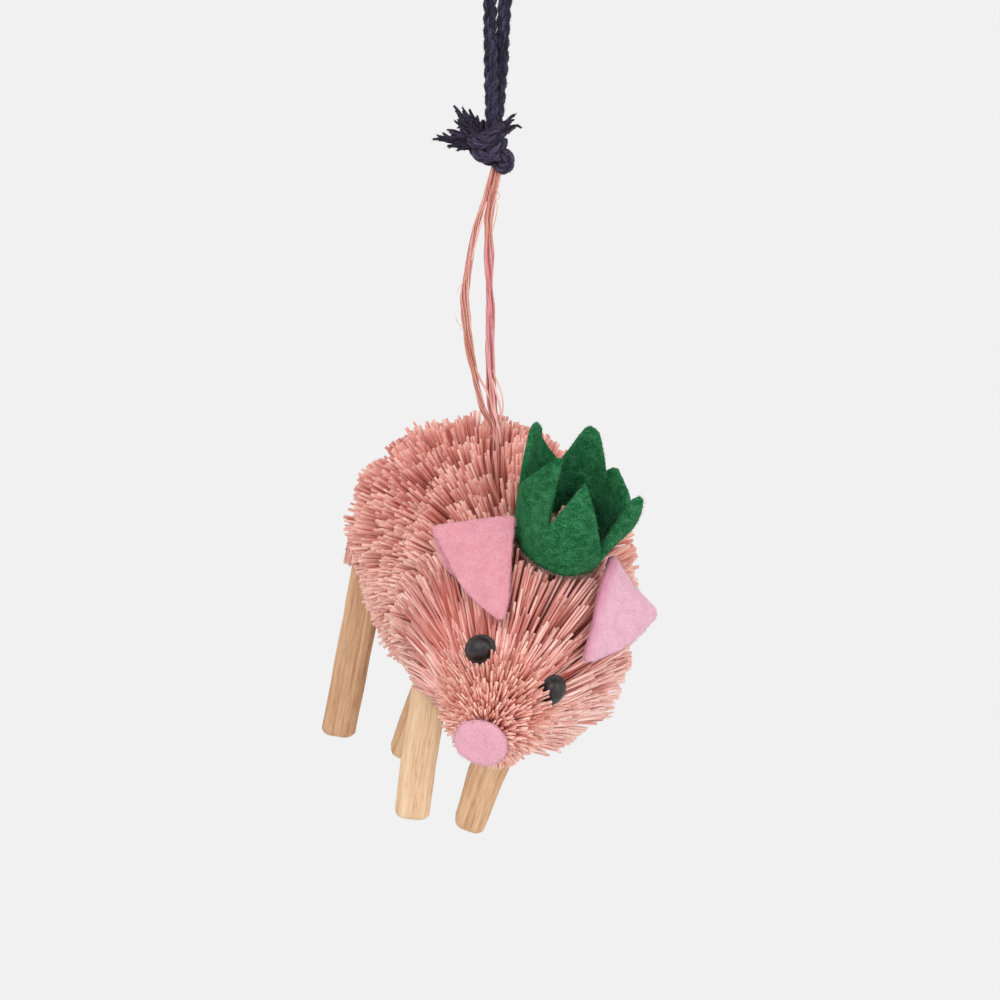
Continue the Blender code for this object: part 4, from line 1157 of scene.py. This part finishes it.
def leg(name, seed, look, longer, taper=0.0):
    """A split stick with eight worn corners; it may reach below its foot, and narrow towards it."""
    chance = random.Random(seed)
    foot, _, up, across, deep = leg_frame(name)
    corners = [(x * chance.uniform(0.94, 1.04), y * chance.uniform(0.92, 1.05)) for x, y in LEG_SECTION]
    corners = np.array(corners)
    columns, rows = 64, 60
    outline = []
    for k in range(8):
        for share in np.linspace(0, 1, columns // 8, endpoint=False):
            outline.append((1 - share) * corners[k] + share * corners[(k + 1) % 8])
    outline = np.array(outline)
    for _ in range(2):
        outline = 0.5 * outline + 0.25 * (np.roll(outline, 1, 0) + np.roll(outline, -1, 0))
    grooves = np.array([chance.uniform(-1, 1) for _ in range(columns)])
    points, grain = [], []
    for row in range(rows):
        share = row / (rows - 1)
        height = LEG_LENGTH * share - longer * (1 - share)
        edge = min(height + longer, 0.7) / 0.7
        scale = 0.86 + 0.14 * math.sqrt(edge) - 0.02 * math.sin(3 * share + seed)
        narrow = np.array((1 - taper * max(0.0, 1 - 4 * share), 1.0))
        over = 0.35 * math.sin(3.1 * share + seed) - float(np.interp(share, SWAY_HEIGHTS, LEG_SWAY[name]))
        waver = 0.05 * np.sin(0.35 * height + 5 * grooves) + 0.075 * grooves
        ring = outline * np.array((LEG_WIDTH / 2, LEG_DEPTH / 2)) * scale * narrow
        ring = ring * (1 + waver / 4.3)[:, None]
        points.append(foot + over * across + height * up + ring[:, :1] * across + ring[:, 1:] * deep)
        grain.append(np.column_stack([ring, np.full(columns, height)]) + 40.0 * seed)
    over = 0.35 * math.sin(seed) - LEG_SWAY[name][0]
    for height, scale in ((-0.12 - longer, 0.55), (-0.16 - longer, 0.2)):
        ring = outline * np.array((LEG_WIDTH / 2 * (1 - taper), LEG_DEPTH / 2)) * scale
        points.insert(0, foot + over * across + height * up + ring[:, :1] * across + ring[:, 1:] * deep)
        grain.insert(0, np.column_stack([ring, np.full(columns, 8 * height)]) + 40.0 * seed)
    mesh = np.concatenate(points), closed_faces(len(points), columns), {"grain": np.concatenate(grain)}
    piece("wood_" + name, mesh, look, [name])


WOOD = wood_look("willow_stick", (160, 116, 80), (200, 156, 118), (224, 190, 152))
# A darker copy of the stick wood, as painted shade for the rear right leg.
SHADED_WOOD = wood_look("rear_stick", (150, 106, 72), (191, 145, 109), (217, 180, 143))
PALE_WOOD = wood_look("pale_stick", (200, 160, 122), (224, 188, 150), (238, 208, 174))
leg("leg_front_right", 1, PALE_WOOD, longer=0.9)
leg("leg_front_left", 2, WOOD, longer=0.6, taper=0.14)
leg("leg_rear_right", 3, SHADED_WOOD, longer=0.7)
leg("leg_rear_left", 4, WOOD, longer=-0.3)


# Felt

# Colours that darken the felt as painted shade: on the ears' crease and fold, and inside the crown.
ROSE_PAINTED_SHADE, GREEN_PAINTED_SHADE = (236, 196, 212), (130, 174, 176)
SALMON_FELT = felt_look("salmon_wool", (216, 140, 152), (228, 156, 168), (239, 177, 187), 0.3, ROSE_PAINTED_SHADE)
ROSE_FELT = felt_look("rose_wool", (222, 164, 186), (232, 181, 199), (242, 200, 214), 0.3, ROSE_PAINTED_SHADE)
GREEN_FELT = felt_look("green_wool", (8, 72, 40), (24, 106, 60), (74, 146, 98), 0.3, GREEN_PAINTED_SHADE,
                       sheen=0.02, spread=0.1)
PINK_FELT = felt_look("nose_wool", (232, 164, 182), (239, 175, 193), (245, 190, 205), 0.15)
SALMON_FUZZ = felt_look("salmon_hairs", (234, 168, 180), (240, 182, 194), (247, 202, 210), 0.5)
ROSE_FUZZ = felt_look("rose_hairs", (238, 184, 200), (243, 198, 212), (249, 214, 224), 0.5)
GREEN_FUZZ = felt_look("green_hairs", (20, 98, 56), (56, 128, 84), (130, 176, 140), 0.5)
GLUE_HAIRS = felt_look("glue_hairs", (126, 104, 92), (166, 142, 130), (206, 184, 172), 0.5)

FELT = 1.5
# Each ear's cut outline in its own plane: along its rooted edge from the lower corner, and away from that edge
EAR_OUTLINES = {
    "ear_right": (
        (-0.2, 0), (1.6, -0.5), (4.7, -0.8), (10.6, -0.6), (17, -0.5), (22.6, -0.6), (24.2, -0.4),
        (24.8, 0.6), (24.4, 3), (24, 5.5), (22.9, 10.6), (21.9, 15.1), (21.5, 17.6), (20.9, 18.6),
        (19.8, 18.7), (17.7, 17.3), (13.7, 14.9), (9.8, 12.5), (6.5, 10.1), (3.3, 6.4), (0.6, 2.6), (-0.2, 1),
    ),
    "ear_left": (
        (0.4, -0.2), (3.5, -0.3), (6.9, -0.2), (10, -0.1), (16.8, -0.8), (22.4, -0.9), (24.6, -0.8),
        (25.4, -0.1), (25.2, 0.9), (22.5, 4.3), (20.1, 8.3), (17.8, 13.2), (16.9, 14.7), (16, 15.4),
        (14.8, 15.4), (12.5, 14.3), (8.8, 12), (4.9, 8.5), (1.8, 4.6), (0, 1.9), (-0.3, 0.7),
    ),
}
# Share of the way to an ear's outline, and height of the skin over the sheet's middle
EAR_FLAT = (0.02, 0.15, 0.3, 0.45, 0.6, 0.74, 0.85, 0.93)
EAR_EDGE = ((0.98, 0.72), (0.997, 0.56), (1.0, 0.3), (1.0, -0.3), (0.997, -0.56), (0.98, -0.72))
EAR_PROFILE = ([(s, FELT / 2) for s in EAR_FLAT] + list(EAR_EDGE) + [(s, -FELT / 2) for s in EAR_FLAT[::-1]])
# The turned-under margin's outer and inner edge: along the ear, away from its root, and depth under its middle
FOLD_OUTER = (
    (20.6, 18.3, 0.5), (18.4, 18.5, 0.9), (15.9, 17.4, 1.3), (13.4, 16.4, 1.9), (11.2, 14.8, 2.6),
    (9.8, 12.9, 3.4),
)
FOLD_UNDER = (
    (20.2, 17.4, 0.4), (17.6, 15.9, 0.6), (15, 14, 0.9), (12.4, 12.6, 1.3), (10.4, 11.4, 1.8), (9, 10.4, 2.6),
)
FOLD_TOP = ((0.0, 0.35), (0.25, 0.4), (0.5, 0.42), (0.75, 0.4), (0.93, 0.36), (1.0, 0.12))
FOLD_PROFILE = FOLD_TOP + tuple((share, -height) for share, height in FOLD_TOP[::-1])
# The crown's cut edge all the way round: angle, radius and rise above the rim
CROWN_EDGE = (
    (3.7, 9, 25.2), (12.2, 9.5, 24), (23.7, 10.6, 20.8), (33.3, 11.6, 17), (43.5, 12.3, 11.7),
    (52.5, 12.6, 7.5), (55.5, 13.6, 13), (58.5, 14.8, 20.5), (60.5, 15.6, 25), (65, 15.8, 25.6),
    (70, 15.4, 24.4), (82, 14.7, 21.5), (96, 14.2, 17.6), (108.3, 13.9, 15), (117.4, 13.6, 15.7),
    (130, 13.2, 16.8), (139, 12.9, 18.2), (143, 12.6, 19.3), (149.5, 12.5, 18.8), (156.4, 12.5, 16.6),
    (163.7, 12.9, 19.2), (171.4, 13.3, 22), (178.3, 13.7, 24.6), (182.9, 13.9, 25.2), (189.5, 14, 25.8),
    (194, 14, 24.9), (197.2, 13.8, 23), (203.2, 13.3, 18.9), (210.5, 13, 14.8), (224.5, 14.8, 18.2),
    (236, 15.9, 21.9), (238.5, 16.3, 24.6), (244.9, 16.6, 26.5), (253, 16.4, 27), (262, 15.8, 25.6),
    (266.6, 15, 20.5), (269.5, 13.6, 12.4), (281, 13, 16.4), (293.3, 12.4, 20.9), (299.4, 11, 24.9),
    (302.6, 9.5, 27.1), (307.5, 9, 27.3), (313.5, 9.2, 25), (319.1, 9.6, 22), (328, 10.3, 18.2),
    (334.7, 11.1, 14.5), (338.3, 11.5, 12.2), (342, 11.2, 14), (347.8, 10.5, 17.8), (356.6, 9.5, 22.6),
    (363.7, 9, 25.2),
)
NOSE_PROFILE = (
    (0.6, 0.3), (0.9, 0.35), (0.985, 0.6), (1, 1), (0.985, 1.5), (0.93, 1.85), (0.8, 2.05), (0.6, 2.15),
    (0.4, 2.2), (0.2, 2.2),
)


def fuzz_on(made, name, look, count, length, lie=0.6, width=0.06):
    """Stray hairs all over a piece."""
    at, away = surface_points(made, count)
    piece(name, fuzz_mesh(at, away, length, width, count, lie), look)


def hill(value, middle, spread):
    """A smooth hill that is 1 at its middle."""
    return np.exp(-(((value - middle) / spread) ** 2))


def ear(name, look, fuzz, bow, roll, crease_shade):
    """A soft triangle of felt, bowed, its rim rounded and its far corner rolled a little."""
    low, along, out, normal = ear_frame(name)
    outline = np.array(EAR_OUTLINES[name] + EAR_OUTLINES[name][:1])
    outline = spaced(smooth_line(np.column_stack([outline, np.zeros(len(outline))]), 8), 121)[:-1, :2]
    centre = outline.mean(axis=0)
    columns = len(outline)
    outline = centre + (1 + 0.006 * CHANCE.normal(size=(columns, 1))) * (outline - centre)
    points, painted_crease = [], []
    for share, height in EAR_PROFILE:
        flat = centre + share * (outline - centre)
        a, b = flat[:, 0], flat[:, 1]
        bulge = bow * (1 - share**2) + 0.25 * np.sin(0.35 * a + 0.5) + 0.18 * np.sin(0.5 * b + 0.3 * a)
        curl = roll * np.clip((a - b * 0.2 - 17.0) / 8.0, 0, 1) ** 2
        lift = height * (1 + 0.1 * np.sin(0.9 * a + 1.3 * b)) + bulge - curl
        points.append(low + a[:, None] * along + b[:, None] * out + lift[:, None] * normal)
        # Painted shade along the rooted edge, where the ear meets the bristles.
        painted_crease.append(crease_shade * np.exp(-np.clip(b + 0.9, 0, None) ** 2 / 3.4))
        if height == 0.3:
            rim = points[-1] + 0.3 * CHANCE.normal(size=(columns, 3)) * normal
    groups = closed_faces(len(points), columns)
    if np.cross(out, along) @ normal > 0:
        groups = [g[:, ::-1] for g in groups]
    mesh = np.concatenate(points), groups, {"shade": np.concatenate(painted_crease)}
    made = piece("felt_" + name, mesh, look, [name])
    fuzz_on(made, "fuzz_" + name, fuzz, count=3200, length=0.8)
    away = rim - rim.mean(axis=0) + 3.0 * CHANCE.normal(size=rim.shape)
    hairs = fuzz_mesh(rim, away, length=0.8, width=0.05, count=420, lie=0.4)
    piece("fringe_" + name, hairs, fuzz)


def ear_fold():
    """The margin of the right ear that is turned under and shows behind its outer edge."""
    low, along, out, normal = ear_frame("ear_right")
    outer, under = (spaced(smooth_line(edge, 8), 40) for edge in (FOLD_OUTER, FOLD_UNDER))
    points = []
    for share, height in FOLD_PROFILE:
        flat = under + share * (outer - under)
        lift = height - flat[:, 2] + 0.1 * np.sin(1.1 * flat[:, 0])
        points.append(low + flat[:, :1] * along + flat[:, 1:2] * out + lift[:, None] * normal)
    points = np.array(points).transpose(1, 0, 2)
    rows, columns = points.shape[:2]
    # The turned-under margin is darkened a little by painted shade.
    mesh = points.reshape(-1, 3), closed_faces(rows, columns), {"shade": np.full(rows * columns, 0.1)}
    made = piece("fold_ear_right", mesh, SALMON_FELT)
    fuzz_on(made, "fuzz_fold_ear_right", SALMON_FUZZ, count=400, length=0.8)


def crown():
    """A felt band cut into six points, each one with its own lean."""
    edge = np.array(CROWN_EDGE)
    step = np.diff(edge, axis=0) * np.array((0.2, 1.0, 1.0))
    arc = np.concatenate([[0], np.cumsum(np.linalg.norm(step, axis=1))])
    at = np.sort(np.concatenate([arc[:-1], np.linspace(0, arc[-1], 190, endpoint=False)[1:]]))
    angle, radius, rise = (np.interp(at, arc, edge[:, k]) for k in range(3))
    columns = len(at)
    spoke = spokes(np.radians(angle), CROWN_FRONT, CROWN_RIGHT)
    wave = 0.4 * np.sin(np.radians(3 * angle + 40))
    thick = FELT * (1 + 0.35 * hill(angle, 58.0, 7.0))
    # Painted shade on the crown's inner skin, from its bottom up to a height that is greatest on the right side
    # and lowest on the back left.
    shade_side = hill(angle, 90.0, 34.0)
    shade_reach = 0.54 + 0.75 * shade_side - 0.3 * hill(angle, 255.0, 30.0)
    # share of the rise, and share of the thickness from the outer skin
    shares = [k / 15 for k in range(15)]
    profile = [(s, 0.0) for s in shares] + [(0.985, 0.08), (1.0, 0.3), (1.0, 0.7), (0.985, 0.92)]
    profile += [(s, 1.0) for s in shares[::-1]]
    points, inner = [], []
    for share, deep in profile:
        lean = 0.5 * share + 0.5 * share * share
        reach = CROWN_RADIUS + wave + (radius - CROWN_RADIUS - wave) * lean + 0.5 * math.sin(math.pi * share)
        reach = reach + 2.0 * hill(angle, 73.0, 19.0) * math.sin(math.pi * share**1.6)
        reach = reach + 0.12 * np.sin(np.radians(7 * angle) + 5 * share) - deep * thick
        points.append(CROWN_CENTRE + reach[:, None] * spoke + (share * rise)[:, None] * CROWN_AXIS)
        inner.append(np.clip((shade_reach - share) / (0.24 + 0.6 * shade_side), 0, 1) * (deep == 1.0))
    rows = len(profile)
    bottom = np.arange(columns)
    after = (bottom + 1) % columns
    last = (rows - 1) * columns
    rim = np.stack([last + bottom, last + after, after, bottom], 1)
    mesh = np.concatenate(points), [grid_faces(rows, columns), rim], {"shade": np.concatenate(inner)}
    made = piece("felt_crown", mesh, GREEN_FELT, ["crown"])
    fuzz_on(made, "fuzz_crown", GREEN_FUZZ, count=9000, length=0.9, lie=0.75)
    rim = CROWN_CENTRE + (CROWN_RADIUS + wave)[:, None] * spoke + 0.15 * CHANCE.normal(size=(columns, 3))
    hairs = fuzz_mesh(rim, spoke - 0.5 * CROWN_AXIS, length=1.5, width=0.07, count=900, lie=0.45)
    piece("fringe_crown", hairs, GLUE_HAIRS)


def nose():
    """A felt disc, a little out of round and soft at its edge."""
    centre, forward, left, up = spine_frame(SPINE_LENGTH)
    turn = full_turn(72)
    wobble = 1 + 0.02 * np.sin(2 * turn + 0.6) + 0.012 * np.sin(5 * turn) + 0.008 * np.sin(9 * turn + 1)
    spoke = spokes(turn, left, up)
    rings = []
    for share, height in NOSE_PROFILE:
        lift = height + 0.08 * np.sin(3 * turn + 9 * share)
        rings.append((NOSE_RADIUS * 1.03 * share * wobble[:, None], lift[:, None]))
    made = piece("felt_nose", turned(centre, spoke, forward, rings), PINK_FELT, ["nose"])
    fuzz_on(made, "fuzz_nose", ROSE_FUZZ, count=700, length=0.6, lie=0.75, width=0.05)
    rim = centre + NOSE_RADIUS * 1.02 * wobble[:, None] * spoke
    rim = (rim[None] + np.array((0.7, 1.1, 1.6))[:, None, None] * forward).reshape(-1, 3)
    away = np.tile(spoke, (3, 1)) + 0.3 * forward
    hairs = fuzz_mesh(rim, away, length=0.85, width=0.05, count=420, lie=0.45)
    piece("fringe_nose", hairs, ROSE_FUZZ)


ear("ear_right", SALMON_FELT, SALMON_FUZZ, bow=0.7, roll=0.9, crease_shade=0.15)
ear_fold()
ear("ear_left", ROSE_FELT, ROSE_FUZZ, bow=0.8, roll=0.2, crease_shade=1.0)
crown()
nose()


# Eyes, glue in the crown, raffia tail and the wires

EYE_SHELL = eye_look()
# Radius and height of each ring, from the stem to the top of the dome
EYE_PROFILE = (
    (0.9, -8), (1.15, -6), (1.15, -0.5), (3.3, -0.5), (3.55, -0.3), (3.6, 0), (3.45, 0.28), (3.1, 0.36),
    (2.98, 0.3), (2.9, 0.5), (2.8, 0.95), (2.55, 1.5), (2.15, 1.95), (1.6, 2.3), (1, 2.55), (0.4, 2.66),
)
# Radius, height and roughness of each ring
GLUE_PROFILE = (
    (3.6, -5, 0), (8.6, -0.5, 0.3), (9.9, -0.45, 0.6), (10.5, -0.25, 0.5), (10.6, 0.1, 0.5), (10.4, 0.5, 0.5),
    (9.4, 1.1, 0.8), (6, 1.4, 0.6), (2, 1.2, 0.3),
)


def eye(name, long_way, shift):
    """A domed button with a thin brim, a little longer one way than the other."""
    centre, facing = np.array(EYES[name]) + np.array(shift), eye_facing(name)
    side = unit(np.array(long_way) - np.array(long_way) @ facing * facing)
    spoke = spokes(full_turn(48), 1.1 * side, 0.94 * np.cross(facing, side))
    mesh = turned(centre, spoke, facing, EYE_PROFILE)
    piece(name.replace("eye", "eye_shell"), mesh, EYE_SHELL, [name])


def crown_glue():
    """A film of glue along the crown's lower edge, with a plug down among the bristles."""
    turn = full_turn(90)
    spoke = spokes(turn, CROWN_FRONT, CROWN_RIGHT)
    lumps = 0.25 * np.sin(7 * turn) + 0.2 * np.sin(13 * turn + 1) + 0.15 * np.sin(23 * turn + 2)
    rings = [((radius + 0.4 * rough * lumps)[:, None], (height + rough * lumps)[:, None])
             for radius, height, rough in GLUE_PROFILE]
    mesh = turned(CROWN_CENTRE, spoke, CROWN_AXIS, rings)
    made = piece("glue_film", mesh, glue_look(), ["crown_glue"])
    fuzz_on(made, "fuzz_glue", GLUE_HAIRS, count=1500, length=1.6, lie=0.5)


def raffia_tail(count):
    """The raffia's ends going down between the bristles to the wires."""
    low_end = spine_point(TIE_STATION)[2]
    turn = 2 * math.pi * CHANCE.uniform(0, 1, count)
    spread = CHANCE.uniform(0.3, 1.7, count)
    lines = []
    for k in range(count):
        away = spread[k] * np.array((math.cos(turn[k]), math.sin(turn[k]), 0.0))
        heights = RAFFIA_FOOT[2] + CHANCE.uniform(0.5, 3.0), 0.5 * (RAFFIA_FOOT[2] + low_end), low_end + 3.0
        route = [np.array((RAFFIA_FOOT[0], 0.0, z)) + s * away for z, s in zip(heights, (0.55, 1.1, 0.9))]
        lines.append(spaced(smooth_line(route, 10), 16))
    width = 0.62 * CHANCE.uniform(0.7, 1.3, (count, 1))
    mesh = strand_mesh(np.array(lines), width, 0.2, RAFFIA_SIDES, CHANCE.uniform(0, 0.8, count))
    piece("raffia_tail", mesh, RAFFIA, ["raffia_tie"])


eye("eye_right", long_way=(1.0, 0.0, 0.15), shift=(0.0, 0.0, -0.2))
eye("eye_left", long_way=(0.1, 0.0, 1.0), shift=(-0.5, -0.1, -0.5))
crown_glue()
raffia_tail(16)

STEEL = steel_look()
for wire in ("spine_wire_a", "spine_wire_b"):
    node = frame["nodes"][wire]
    node.data.materials.clear()
    node.data.materials.append(STEEL)
